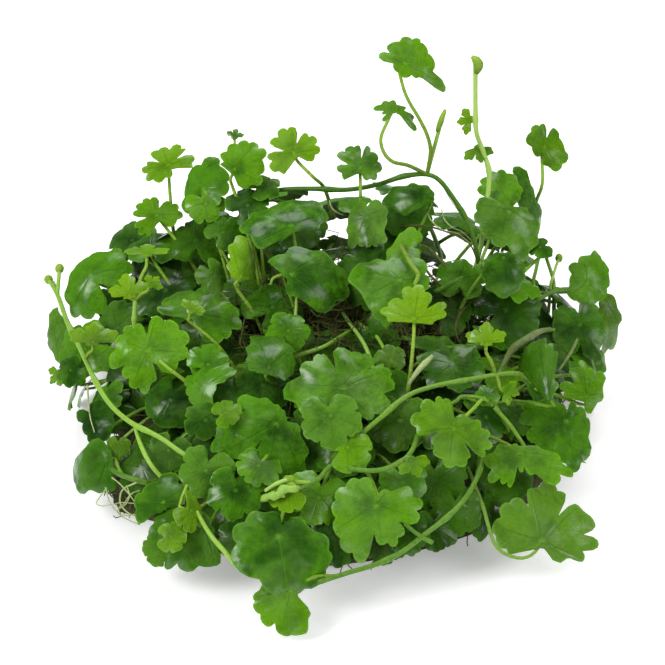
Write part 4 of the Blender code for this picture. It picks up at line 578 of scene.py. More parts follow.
# Leaves along it: share of its length, sideways, rise off it, radius, sideways heading, tilt and style
BackLeaf = namedtuple("BackLeaf", "name share sideways rise radius heading tilt style")
BACK_LEAVES = (
    BackLeaf("crown", 0.38, -7.0, 6.0, 6.4, -40, 20, "mid"),
    BackLeaf("shoulder", 0.55, 7.0, 6.0, 7.6, 35, 38, "broad"),
    BackLeaf("flank", 0.74, -6.5, 5.5, 7.0, -30, 52, "dark"),
    BackLeaf("low", 0.88, 7.0, 4.5, 6.8, 30, 62, "mid"),
    BackLeaf("end", 1.00, -2.0, 2.5, 6.0, 0, 60, "bright"),
)

# Smaller and half-hidden leaves of the front view, which have no solid of their own
MORE_LEAVES = (
    Leaf("shade_a", -36.4, 38.2, 3, 5.5, 90, -10, 45, "mid"),
    Leaf("low_a", -42.8, -1.8, 0, 2.7, 270, 0, 15, "grey"),
    Leaf("low_b", -32.4, -19.8, 6, 3.3, 0, 0, 15, "bright"),
    Leaf("low_c", -34.4, -21.6, -1, 4.0, 250, -10, 10, "grey"),
    Leaf("low_d", -28.4, -14.6, 5, 4.0, 320, 45, 15, "bright"),
    Leaf("crown_a", -23.8, 32.4, 6, 4.2, 300, 45, 10, "grey"),
    Leaf("crown_b", -28.4, 25.4, 6, 2.8, 60, 0, 20, "fan"),
    Leaf("left_a", -24.8, 14.6, 3, 4.6, 20, 0, 20, "mid"),
    Leaf("centre_a", -14.0, 10.4, -2, 5.6, 260, 0, 20, "dark"),
    Leaf("centre_b", -8.8, 21.4, 2, 4.6, 60, 0, 25, "mid"),
    Leaf("centre_c", -21.4, 5.0, 5, 3.1, 20, 0, 25, "bright"),
    Leaf("centre_d", -14.8, -5.6, 4, 4.6, 250, 10, 32, "bright"),
    Leaf("front_a", 15.2, -18.6, -1, 4.6, 280, 5, 15, "dark"),
    Leaf("front_e", 10.4, -20.9, -2, 4.4, 265, 0, 12, "dark"),
    Leaf("front_f", 20.6, -18.4, -3, 4.6, 270, 5, 12, "dark"),
    Leaf("front_g", -18.6, -20.6, -2, 4.4, 260, 0, 12, "dark"),
    Leaf("right_a", 31.0, 8.4, 5, 2.6, 120, 0, 30, "mid"),
    Leaf("right_b", 11.6, 15.8, 2, 3.2, 100, 0, 20, "grey"),
    Leaf("right_c", 52.4, 11.4, 2, 5.0, 280, 65, 10, "grey"),
    Leaf("crown_c", 7.2, 33.0, 1, 7.6, 225, -15, 20, "dark"),
    Leaf("top_a", -22.0, 41.0, 3, 4.2, 40, 0, 25, "mid"),
    Leaf("top_b", -25.4, 46.8, 7, 4.4, 300, 0, 20, "bright"),
    Leaf("top_c", 15.2, 44.4, 3, 5.6, 270, 0, 25, "dark"),
    Leaf("top_d", 41.6, 38.0, 8, 2.8, 200, 0, 30, "mid"),
    Leaf("top_e", -19.6, 60.2, 13, 1.9, 80, 0, 20, "fan"),
    Leaf("left_b", -32.4, 7.4, -1, 5.8, 250, -5, 20, "round"),
    Leaf("left_c", -25.4, 3.4, 0, 4.2, 200, 0, 20, "grey"),
    Leaf("left_d", -32.8, -2.6, -1, 4.8, 250, -10, 15, "grey"),
    Leaf("front_b", 13.6, 3.4, -1, 6.6, 260, 0, 20, "grey"),
    Leaf("right_d", 20.6, -8.6, -3, 6.6, 270, 0, 20, "dark"),
    Leaf("right_e", 24.6, -14.6, -2, 5.6, 265, 0, 15, "dark"),
    Leaf("right_f", 34.6, -6.6, -1, 6.2, 265, 5, 15, "dark"),
    Leaf("right_g", 27.6, -1.0, -4, 7.2, 280, 10, 20, "dark"),
    Leaf("right_h", 36.6, 4.4, -2, 4.6, 250, 0, 25, "dark"),
    Leaf("right_i", 34.6, 25.4, -2, 8.2, 20, 0, 30, "dark"),
    Leaf("crown_d", 25.6, 31.6, 0, 5.4, 80, 0, 25, "mid"),
    Leaf("top_f", -17.0, 46.4, 6, 4.6, 30, 0, 25, "mid"),
    Leaf("top_g", -14.0, 50.4, 7, 4.0, 20, 0, 40, "mid"),
    Leaf("left_e", -27.4, 39.4, 1, 5.6, 90, 0, 30, "dark"),
    Leaf("left_f", -33.4, 29.4, -2, 6.6, 100, 0, 30, "dark"),
    Leaf("centre_e", -20.8, 9.0, -2, 4.8, 230, 0, 20, "dark"),
    Leaf("front_c", -2.8, -12.0, 2, 6.2, 250, 5, 20, "mid"),
    Leaf("front_d", 1.0, -19.0, 0, 6.0, 270, 0, 15, "dark"),
    Leaf("left_g", -40.0, 12.0, -3, 6.5, 220, -20, 20, "dark"),
    Leaf("left_h", -43.0, 22.0, -2, 6.8, 180, -25, 25, "dark"),
    Leaf("left_i", -38.0, -6.0, -3, 5.6, 230, -15, 20, "dark"),
    Leaf("right_k", 50.0, 14.0, -2, 6.4, 320, 25, 20, "mid"),
    Leaf("centre_f", -4.0, -1.0, -4, 6.6, 260, 0, 20, "dark"),
    Leaf("centre_g", 14.0, -9.0, 1, 5.2, 280, 0, 20, "mid"),
    Leaf("crown_e", -12.0, 26.0, -3, 6.6, 40, 0, 30, "dark"),
    Leaf("left_j", -52.4, 13.4, 2, 3.6, 200, -20, 15, "mid"),
    Leaf("left_k", -40.0, 39.4, 2, 5.6, 95, -15, 30, "dark"),
    Leaf("left_l", -54.6, 12.8, 1, 3.0, 220, -20, 15, "fan"),
    Leaf("deep_a", -4.0, 18.0, -6, 6.4, 250, 0, 25, "dark"),
    Leaf("deep_b", 8.0, 20.0, -5, 5.8, 300, 0, 25, "dark"),
    Leaf("deep_c", -30.0, 18.0, -6, 6.0, 200, 0, 25, "dark"),
    Leaf("deep_d", 22.0, 26.0, -5, 6.2, 60, 0, 25, "dark"),
    Leaf("deep_e", 40.0, 22.0, -4, 6.0, 340, 10, 25, "dark"),
    Leaf("deep_g", -22.0, -2.0, -5, 6.4, 240, 0, 20, "dark"),
    Leaf("deep_h", 16.0, -3.0, -5, 6.0, 260, 0, 20, "dark"),
    Leaf("deep_i", -10.0, -8.0, -4, 6.0, 250, 0, 20, "dark"),
    Leaf("deep_j", -44.0, 6.0, -4, 5.4, 200, -15, 20, "dark"),
    Leaf("deep_k", 44.0, 14.0, -4, 5.6, 300, 15, 20, "dark"),
)

# Loose stems, roots and tendrils that show: finish, radii along it, and points across, up and lift
STRANDS = (
    ("root_strands", (0.28, 0.16),
     ((-6.8, 23.1, -6), (-5.6, 21.8, -5), (-3.1, 20.6, -5), (-0.8, 20.3, -5), (0.7, 21.6, -5),
      (1.8, 22.6, -6))),
    ("root_strands", (0.30, 0.22),
     ((-14.6, 38.2, 0), (-12.6, 36.9, 0), (-10.8, 34.1, -1), (-9.5, 30.0, -3), (-7.9, 27.5, -5),
      (-5.0, 22.0, -9))),
    ("root_strands", (0.26, 0.20),
     ((-6.9, 28.0, -4), (-4.1, 26.4, -4), (-1.1, 25.4, -4), (2.5, 25.7, -4), (7.1, 26.4, -5))),
    ("root_strands", (0.22, 0.14),
     ((-12.0, 35.0, -2), (-11.4, 29.0, -4), (-7.4, 24.4, -7), (-2.0, 18.0, -9))),
    ("root_strands", (0.24, 0.14),
     ((10.0, 41.6, -1), (16.9, 42.4, 4), (21.5, 41.6, 5), (26.0, 39.7, 5), (28.0, 37.8, 4),
      (30.0, 32.0, -4))),
    ("root_strands", (0.34, 0.20), ((19.0, 38.0, 0), (22.4, 34.6, 0), (24.8, 31.0, -2), (26.0, 26.0, -6))),
    ("root_strands", (0.30, 0.18), ((15.8, 37.4, 0), (19.6, 32.4, -1), (22.8, 28.8, -3), (25.0, 22.0, -8))),
    ("root_strands", (0.34, 0.22),
     ((28.0, 27.2, -5), (25.6, 25.0, -4), (24.6, 21.0, -4), (26.6, 17.0, -6))),
    ("stem", (0.50, 0.34),
     ((-12.0, 13.6, -5), (-8.0, 16.0, -2), (-2.1, 18.0, -2), (1.5, 20.1, -3), (3.6, 21.4, -5))),
    ("pale_stem", (0.34, 0.44),
     ((2.0, 24.9, -6), (3.8, 22.4, -4), (5.8, 19.6, -3), (7.1, 17.0, -3), (8.4, 13.0, -5))),
    ("stem", (0.40, 0.36), ((5.0, 23.0, -7), (8.6, 20.4, -5), (10.4, 17.6, -4), (12.6, 14.0, -5))),
    ("stem", (0.36, 0.44),
     ((-12.3, 30.5, 0), (-11.8, 31.8, 1), (-10.2, 32.4, 1), (-8.4, 32.6, 0), (-6.0, 30.0, -4))),
    ("pale_stem", (0.34, 0.40), ((-7.4, 30.5, -1), (-7.2, 26.4, -2), (-7.4, 23.1, -3), (-6.6, 19.0, -6))),
    ("stem", (0.52, 0.60), ((20.3, 29.0, -3), (26.1, 32.0, 0), (29.9, 34.7, 0), (33.0, 36.6, -2))),
    ("stem", (0.46, 0.52), ((14.0, 20.0, -5), (20.0, 18.2, -3), (26.0, 18.0, -3), (32.0, 19.4, -4))),
    ("dead_stem", (0.30, 0.50, 0.85, 0.80, 0.60, 0.50, 0.30),
     ((32.8, 11.8, 2), (34.0, 14.2, 4), (35.8, 17.4, 5), (38.3, 19.2, 6), (41.0, 21.0, 6),
      (43.6, 21.8, 3))),
    ("dead_stem", (0.20, 0.34, 0.30), ((45.2, 13.3, 4), (47.5, 16.7, 4), (49.0, 19.6, 2))),
    ("pale_roots", (0.30, 0.52, 0.64, 0.40),
     ((15.2, 10.6, 3), (16.4, 12.4, 5), (18.0, 14.4, 5), (19.9, 16.2, 4))),
    ("leaf_young", (0.46, 0.42, 0.36),
     ((13.6, 38.4, 11), (15.8, 34.6, 11), (17.1, 32.6, 10), (16.4, 30.4, 8), (16.0, 27.6, 3))),
    ("stem", (0.34, 0.40),
     ((22.0, 6.0, 2), (24.6, 7.2, 4), (26.0, 8.2, 5), (29.8, 7.8, 5), (32.0, 6.4, 4))),
    ("pale_stem", (0.30, 0.78, 0.52, 0.95, 0.62, 1.00, 0.66, 0.84, 0.30),
     ((-14.2, -12.6, 7), (-12.8, -11.7, 9), (-11.2, -11.6, 9), (-9.8, -10.4, 9), (-8.2, -10.3, 9),
      (-6.6, -10.0, 8))),
    ("leaf_young", (0.20, 0.62, 0.30), ((-11.8, -12.6, 7), (-11.0, -11.6, 9), (-9.6, -11.7, 8))),
    ("leaf_young", (0.20, 0.56, 0.24), ((-9.4, -9.6, 8), (-8.0, -9.5, 9), (-6.9, -10.8, 8))),
    ("pale_stem", (0.35, 0.42, 0.45),
     ((-13.4, -10.6, 6), (-11.4, -9.4, 8), (-9.4, -8.6, 8), (-8.4, -8.7, 8))),
    ("stem", (0.42, 0.46, 0.40),
     ((-39.4, 1.9, 2.6), (-38.7, -0.5, 2), (-37.6, -3.2, 2), (-36.0, -5.9, 1), (-34.0, -8.2, -1))),
    ("stem", (0.50, 0.52), ((-45.2, -5.4, -1), (-42.9, -7.2, 0), (-40.2, -8.2, 0), (-36.9, -9.1, -2))),
    ("pale_roots", (0.14, 0.11, 0.13),
     ((-45.4, -10.0, 0), (-44.6, -12.8, 0), (-42.9, -15.1, 0), (-41.0, -16.4, 0), (-38.6, -17.4, -1))),
    ("pale_roots", (0.13, 0.09, 0.11),
     ((-45.2, -10.2, 0), (-46.6, -12.0, 0), (-47.2, -13.2, 0), (-46.0, -13.7, 0), (-43.7, -13.3, 0),
      (-41.8, -13.0, 0), (-38.8, -13.3, -1))),
    ("pale_roots", (0.17, 0.13),
     ((-39.2, -9.0, 0), (-41.8, -10.3, 0), (-42.5, -12.0, 0), (-42.2, -13.7, 0), (-40.8, -15.1, 0),
      (-38.8, -16.0, -1))),
    ("pale_roots", (0.15, 0.11),
     ((-44.1, -8.0, 0), (-42.5, -9.3, 0), (-41.0, -10.9, 0), (-39.9, -12.4, 0), (-38.9, -13.6, -1))),
    ("pale_roots", (0.11, 0.13),
     ((-42.9, -14.1, 0), (-41.8, -13.3, 0), (-41.0, -12.2, 0), (-40.1, -11.2, 0), (-38.6, -10.6, -1))),
    ("pale_roots", (0.12, 0.10),
     ((-41.2, -9.6, 0), (-40.6, -11.6, 0), (-41.4, -13.4, 0), (-43.0, -14.6, 0), (-41.6, -15.6, 0),
      (-38.8, -15.2, -1))),
    ("root_strands", (0.16, 0.12),
     ((-14.2, 38.2, -1), (-10.8, 32.0, -3), (-7.2, 27.5, -4), (-1.6, 25.6, -4), (6.8, 26.4, -5))),
    ("stem", (0.36, 0.40),
     ((41.5, 37.2, 7), (40.7, 33.5, 5), (40.2, 31.0, 3), (40.6, 28.0, 1), (40.7, 24.0, -4))),
    ("stem", (0.34, 0.46),
     ((42.4, 37.0, 7), (43.5, 33.8, 5), (44.2, 31.3, 3), (44.3, 28.6, 1), (44.3, 23.6, -5))),
    ("pale_stem", (0.28, 0.34),
     ((45.2, 35.6, 6), (44.7, 34.2, 5), (44.1, 32.2, 4), (43.6, 30.2, 2), (43.2, 25.0, -4))),
    ("stem", (0.44, 0.40, 0.36),
     ((39.0, 26.0, -2), (40.9, 27.4, 1), (42.4, 28.3, 2), (44.2, 29.2, 3), (45.8, 29.7, 3),
      (49.0, 29.8, 0))),
    ("stem", (0.40, 0.52), ((-27.2, -14.8, 3), (-24.6, -19.2, 3), (-21.6, -22.8, 4), (-19.0, -25.8, 4))),
    ("stem", (0.38, 0.46), ((14.4, -17.2, 4), (17.4, -19.6, 3), (20.0, -21.0, 2))),
    ("stem", (0.42, 0.40), ((32.4, 6.0, 5), (35.6, 2.4, 5), (38.4, -1.8, 4))),
    ("pale_roots", (0.13, 0.09),
     ((19.0, 45.4, 6), (19.6, 43.6, 6), (21.8, 41.6, 6), (25.0, 40.8, 5), (27.4, 39.0, 3))),
    ("pale_roots", (0.12, 0.09),
     ((21.8, 45.6, 6), (22.4, 43.6, 6), (24.0, 42.0, 6), (25.8, 41.2, 5), (27.8, 39.4, 3))),
    ("pale_roots", (0.12, 0.08), ((20.9, 52.2, 10), (22.0, 50.4, 9), (23.6, 47.6, 8), (25.2, 45.2, 7))),
    ("pale_roots", (0.11, 0.08), ((-0.6, 47.4, 4), (-0.3, 46.2, 4), (0.6, 45.2, 4), (2.2, 44.4, 3))),
    ("pale_roots", (0.20, 0.12), ((-49.0, 10.4, 2), (-48.8, 7.0, 2), (-48.4, 3.8, 1), (-47.6, 1.0, 0))),
)
# Loose buds: place across, up and lifted, and radius
LOOSE_BUDS = ((45.3, 35.9, 6, 0.78), (-8.3, -8.5, 8, 0.80))
BUD_TINT = (0.5, 0.8, 0.5)
BUD_STRETCH = 1.15
LOOSE_BUD_STRETCH = 1.3

# Leaves that fill the flanks and the hidden side, in rings: share of the canopy's height, reach, count,
# blade radius, tilt, and how far round to the front they go, from -1, all round, to 1, none
FILL_RINGS = (
    (0.78, 22, 9, 5.8, 18, -1.0),
    (0.66, 34, 15, 6.0, 30, -1.0),
    (0.50, 44, 20, 6.2, 46, -0.35),
    (0.34, 52, 22, 6.0, 60, -0.05),
    (0.16, 53, 16, 5.2, 66, 0.10),
)
FILL_STYLES = ("mid", "dark", "broad", "mid", "bright", "grey", "cut", "round")
FILL_SWING = 5.0
FILL_SPREAD = 2.5
FILL_LIFT = 2.0
FILL_SIZES = (0.75, 1.1)
FILL_LEAN = 10
FILL_TURN = 60
FILL_FOOT_SWING = 15
FILL_RIM_SINK = 1
FILL_FLOOR_GAP = 1.4
# A hollow over the back right that the photograph shows, left free of such leaves: place and reach
HOLLOW = (22, 22, 17)

# Dark leaves deep in the crown: rows of up, lift, and the places across
BACKDROP_ROWS = (
    (42, -3, (-24, -16, -8, 9)),
    (36, -5, (-34, -26, -18, -8, 12)),
    (28, -7, (-44, -36, -28, -18, 38)),
    (18, -7, (-46, -38, -28, -18, 36, 44)),
    (8, -7, (-40, -30, -16, -4, 8, 20, 32, 42)),
    (-2, -6, (-36, -26, -12, 2, 14, 26, 38)),
    (-12, -5, (-22, -8, 6, 18, 30)),
)
BACKDROP_SPREAD = 1.5
BACKDROP_RADII = (5.0, 7.2)
BACKDROP_TURN = 20
BACKDROP_TIP = 30
LEAF_FOOT_SWING = 20

# The tangle of roots: the heap that it covers in the middle, and its strands on the mat and on the heap
HEAP_RADIUS = 30.0
HEAP_HEIGHT = 23.6
HEAP_SHIFT = 6.0
HEAP_RINGS = 5
HEAP_SEGMENTS = 24
LOWEST_STRAND = 1.2
STRAND_RINGS = 11
STRAND_SIDES = 4
STRAND_POINTS = STRAND_RINGS * STRAND_SIDES
STRAND_FLOOR_GAP = 1.4
STRAND_SIZES = (0.5, 1.2)
# How far a strand leans and turns at most, in radians
STRAND_LEAN = 0.5
STRAND_SPIN = 2 * math.pi
WANDER_SCALE = 290.0
# Strands to a square metre, then sizes in metres, as the geometry nodes take them
MAT_STRANDS = {
    "Density": 250000.0, "Length": 0.008, "Radius": 0.00011, "Curl": 0.010, "Lift": 0.0003, "Seed": 3,
}
HEAP_STRANDS = {
    "Density": 340000.0, "Length": 0.015, "Radius": 0.00011, "Curl": 0.021, "Lift": 0.0012, "Seed": 8,
}

# Lumps on the mat, from coarse to fine: how many in a millimetre, and how high
MAT_LUMPS = ((0.16, 0.9), (0.5, 0.7), (1.3, 0.45))
MAT_CUTS = 3
MAT_SOLE = 0.4
MAT_LOWEST = 0.2

# Lamps, in metres and watts: name, place, size, power, and whether gloss shows them
LAMPS = (
    ("key", (-0.85, -0.45, 0.85), 0.60, 12.0, True),
    ("back", (0.05, 0.75, 1.0), 0.90, 8.5, True),
    ("fill", (0.9, -0.45, 0.75), 0.80, 6.5, True),
    ("overhead", (0.0, -0.1, 1.3), 2.00, 9.0, False),
)
FLOOR_SIZE = 6
FLOOR_COLOUR = (0.86, 0.86, 0.86, 1)
WHITE = (1.0, 1.0, 1.0, 1)
FLOOR_GLOW = 0.32
SKY_GLOW = 0.11
SENSOR_WIDTH = 36


def canopy(x, y):
    """Height of the leaf canopy: a low dome in front that keeps rising gently towards the back."""
    reach = min(math.hypot(x, min(y, 0)) / CANOPY_RADIUS, 1)
    return CANOPY_HEIGHT * (1 - reach**CANOPY_POWER) + CANOPY_BACK_SLOPE * min(max(y, 0), CANOPY_RADIUS)


def sight_line(across, up):
    """Direction from the eye through a place in the picture plane."""
    return (ACROSS * across + UP_THE_VIEW * up - EYE).normalized()


def on_canopy(across, up, lift):
    """Point where the line of sight comes down to the canopy raised by the lift."""
    direction = sight_line(across, up)
    height = CANOPY_HEIGHT
    for _ in range(SIGHT_ROUNDS):
        point = EYE + direction * ((height - EYE.z) / direction.z)
        height += SIGHT_EASE * (max(canopy(point.x, point.y) + lift, LOWEST_PLACE) - height)
    return point


def smooth_path(points, steps):
    """Points at even shares of a smooth curve through the given ones."""
    padded = [points[0] * 2 - points[1], *points, points[-1] * 2 - points[-2]]
    spans = [(b - a).length for a, b in zip(points, points[1:])]
    total = sum(spans)
    path = []
    for step in range(steps + 1):
        along = total * step / steps
        index = 0
        while index < len(spans) - 1 and along > spans[index]:
            along -= spans[index]
            index += 1
        t = min(along / spans[index], 1)
        a, b, c, d = padded[index:index + 4]
        path.append(
            0.5 * (2 * b + (c - a) * t + (2 * a - 5 * b + 4 * c - d) * t**2 + (3 * b - a - 3 * c + d) * t**3)
        )
    return path


def blade_axes(heading, turn, tip):
    """The blade's middle line, its side and its face direction, for a heading seen in the picture plane."""
    turn, tip, heading = math.radians(turn), math.radians(tip), math.radians(heading)
    face = TO_THE_EYE * math.cos(tip) + UP_THE_VIEW * math.sin(tip)
    face = face * math.cos(turn) + ACROSS * math.sin(turn)
    seen = ACROSS * math.cos(heading) + UP_THE_VIEW * math.sin(heading)
    middle = (seen - TO_THE_EYE * (seen.dot(face) / TO_THE_EYE.dot(face))).normalized()
    return middle, face.cross(middle), face


def leaf_stand(leaf):
    """Where a leaf of the front view stands, and the three axes of its blade."""
    return on_canopy(leaf.across, leaf.up, leaf.lift), blade_axes(leaf.heading, leaf.turn, leaf.tip)


def foot_on_mat(point, swing, mat_tree):
    """Place on top of the mat, inward of a point and swung about the mat's centre, where a stalk ends."""
    reach = min(math.hypot(point.x, point.y) * FOOT_SHARE, FOOT_RADIUS)
    angle = math.atan2(point.y, point.x) + math.radians(swing)
    above = Vector((reach * math.cos(angle), reach * math.sin(angle), 4 * MAT_HEIGHT))
    hit = mat_tree.ray_cast(above, -UPWARDS)[0]
    return hit + UPWARDS * (STALK_RADIUS + 2 * CLEARANCE)


def stalk_path(attach, axes, controls, steps):
    """The stalk from its foot to the blade, which it meets from below and behind."""
    middle, _, face = axes
    neck_length = min(NECK_LENGTH, NECK_SHARE * (attach - controls[-1]).length)
    neck = attach - (face * NECK_DROP + middle * NECK_BACK) * neck_length
    if len(controls) == 1:
        foot = controls[0]
        controls = [foot, foot.lerp(neck, 0.5) + UPWARDS * (STALK_BOW * (neck - foot).length)]
    return smooth_path([*controls, neck, attach], steps)


def slides():
    """Steps to and fro along a line of sight, in which a leaf is looked for on its solid."""
    yield 0
    for step in range(1, SLIDE_COUNT + 1):
        yield SLIDE_STEP * step
        yield -SLIDE_STEP * step


class Solid:
    """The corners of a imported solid, in millimetres, to find on it where its leaves stand."""

    def __init__(self, node):
        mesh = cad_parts[node].data
        self.corners = KDTree(len(mesh.vertices))
        for vert in mesh.vertices:
            self.corners.insert(vert.co / MM, vert.index)
        self.corners.balance()

    def gap(self, point):
        """Distance from a point to the nearest corner."""
        return self.corners.find(point)[2]

    def leaf_place(self, start, direction, face):
        """Where the leaf's blade joins its stalk: the slide at which the solid has its top centre."""
        places = [start + direction * slide for slide in slides()]
        best = min(places, key=lambda place: self.gap(place + face * BLADE_THICKNESS / 2))
        return best if self.gap(best + face * BLADE_THICKNESS / 2) < CORNER_TOLERANCE else start

    def foot(self, candidates):
        """The candidate whose distance to the nearest corners is a stalk's radius."""
        return min(candidates, key=lambda controls: abs(self.gap(controls[0]) - STALK_RADIUS))


def sink(style, radius, angle, reach):
    """How far the blade bends down at a place on it."""
    return style.droop * reach * reach / radius + style.fold * abs(reach * math.sin(angle))


def seen_outline(name, axes, style, radius):
    """Corners of a measured outline, laid on the blade: angle from its middle line, reach, and if a tip."""
    middle, side, face = axes
    numbers = OUTLINES[name]
    corners = []
    for index in range(0, len(numbers), 2):
        direction, reach = math.radians(numbers[index]), numbers[index + 1]
        seen = (ACROSS * math.cos(direction) + UP_THE_VIEW * math.sin(direction)) * reach
        bend = 0
        for _ in range(BEND_ROUNDS):
            target = seen + (face - TO_THE_EYE * face.dot(TO_THE_EYE)) * bend
            flat = target - TO_THE_EYE * (target.dot(face) / TO_THE_EYE.dot(face))
            angle = math.atan2(flat.dot(side), flat.dot(middle))
            bend = sink(style, radius, angle, flat.length)
        while corners and angle < corners[-1][0]:
            angle += 2 * math.pi
        corners.append((angle, max(flat.length, MIN_REACH), index % 4 == 2))
    return corners


def usual_outline(style, radius, chance):
    """Corners of a lobed and toothed blade of a style, with small differences that no two leaves share."""
    half = (style.lobes[1] - style.lobes[0]) / 2
    corners = [(-BASE_NOTCH_ANGLE, BASE_NOTCH_REACH * BASE_NOTCH_SHARE, False)]
    edge = style.lobes[-1] + half
    is_open = edge < OPEN_BASE
    if is_open:
        corners.append((-edge - OPEN_BASE_TURN, BASE_NOTCH_REACH * BASE_LOBE_SHARE, True))
    for lobe in style.lobes:
        longer = chance.uniform(*LOBE_LENGTHS)
        lean = chance.uniform(-LOBE_LEAN, LOBE_LEAN)
        for tooth in range(style.teeth):
            place = (2 * tooth + 1) / style.teeth - 1
            before = (2 * tooth) / style.teeth - 1
            notch = 1 - style.cut * abs(before)**LOBE_ROUNDNESS
            notch *= 1 - style.tooth * chance.uniform(*TOOTH_DEPTHS)
            if not (lobe == style.lobes[0] and tooth == 0):
                corners.append((lobe + half * before + (lean if tooth else 0), notch * longer, False))
            elif is_open:
                corners.append((lobe - half, BASE_NOTCH_REACH, False))
            tip = (1 - style.cut * abs(place)**LOBE_ROUNDNESS) * chance.uniform(*TIP_REACHES)
            corners.append((lobe + half * place + lean, tip * longer, True))
    if is_open:
        corners.append((edge, BASE_NOTCH_REACH, False))
        corners.append((edge + OPEN_BASE_TURN, BASE_NOTCH_REACH * BASE_LOBE_SHARE, True))
    return [
        (math.radians(angle), max(reach * radius, MIN_REACH), is_tip) for angle, reach, is_tip in corners
    ]


def edge_reach(turn, first, last, share):
    """Reach of a straight edge between two corners that lie a turn apart, at a share of that turn."""
    across = first * math.sin(turn * share) + last * math.sin(turn * (1 - share))
    return max(first * last * math.sin(turn) / max(across, 0.001), MIN_REACH)


def blade_outline(corners, samples):
    """Angles round the blade, and its reach, place from a tip, 0, to a notch, 1, and kind of vein there."""
    angles, reaches, places, minor = [], [], [], []
    count = len(corners)
    order = 0
    for index in range(count):
        angle, reach, is_tip = corners[index]
        next_angle, next_reach, _ = corners[(index + 1) % count]
        if next_angle < angle:
            next_angle += 2 * math.pi
        order += is_tip
        turn = next_angle - angle
        is_wide = WIDE_GAP < turn < math.pi
        steps = max(samples, math.ceil(turn / WIDE_GAP_STEP)) if is_wide else samples
        for step in range(steps):
            share = step / steps
            from_tip = share if is_tip else 1 - share
            tip_reach, notch_reach = (reach, next_reach) if is_tip else (next_reach, reach)
            angles.append(angle + turn * share)
            if is_wide:
                reaches.append(edge_reach(turn, reach, next_reach, share))
            else:
                reaches.append(tip_reach + (notch_reach - tip_reach) * from_tip**TOOTH_ROUNDNESS)
            places.append(from_tip)
            # The middle one of every three tips has a main vein
            minor.append(0.0 if (order if is_tip else order + 1) % 3 == 2 else 1.0)
    return np.array(angles), np.array(reaches), np.array(places), np.array(minor)


class Growth:
    """Points, faces and surface values gathered for one mesh."""

    def __init__(self):
        self.points = []
        self.faces = []
        self.looks = []
        self.places = []
        self.tints = []
        self.rims = []
        self.count = 0

    def sharp(self, first, count):
        """Marks a closed rim where the shading breaks; called before the rim's points are added."""
        rim = range(self.count + first, self.count + first + count)
        self.rims += [tuple(sorted((rim[index], rim[(index + 1) % count]))) for index in range(count)]

    def add(self, points, faces, look, places, tint):
        """Points and faces of one closed form; a place is (across the lobe, way to the edge, kind)."""
        points = np.asarray(points, float).reshape(-1, 3)
        self.points.append(points)
        self.faces += [tuple(index + self.count for index in face) for face in faces]
        self.looks += [look] * len(faces)
        self.places.append(np.asarray(places, float).reshape(-1, 3))
        self.tints.append(np.tile(tint, (len(points), 1)))
        self.count += len(points)

    def build(self, name, finishes):
        """The mesh as an object at the origin, in metres, smooth, with its finishes."""
        mesh = bpy.data.meshes.new(name)
        mesh.from_pydata(np.concatenate(self.points) * MM, [], self.faces)
        order = sorted(set(self.looks))
        for look in order:
            mesh.materials.append(finishes[look])
        mesh.polygons.foreach_set("material_index", [order.index(look) for look in self.looks])
        for label, values in (("place", self.places), ("tint", self.tints)):
            kept = mesh.attributes.new(label, "FLOAT_VECTOR", "POINT")
            kept.data.foreach_set("vector", np.concatenate(values).ravel())
        mesh.shade_smooth()
        rims = set(self.rims)
        if rims:
            for edge in mesh.edges:
                edge.use_edge_sharp = tuple(sorted(edge.vertices)) in rims
        made = bpy.data.objects.new(name, mesh)
        bpy.context.scene.collection.objects.link(made)
        return made


# Kinds of surface on a leaf, and what a minor lobe adds to its kind
TOP, UNDERSIDE, STALK = 0, 1, 2
MINOR = 0.3


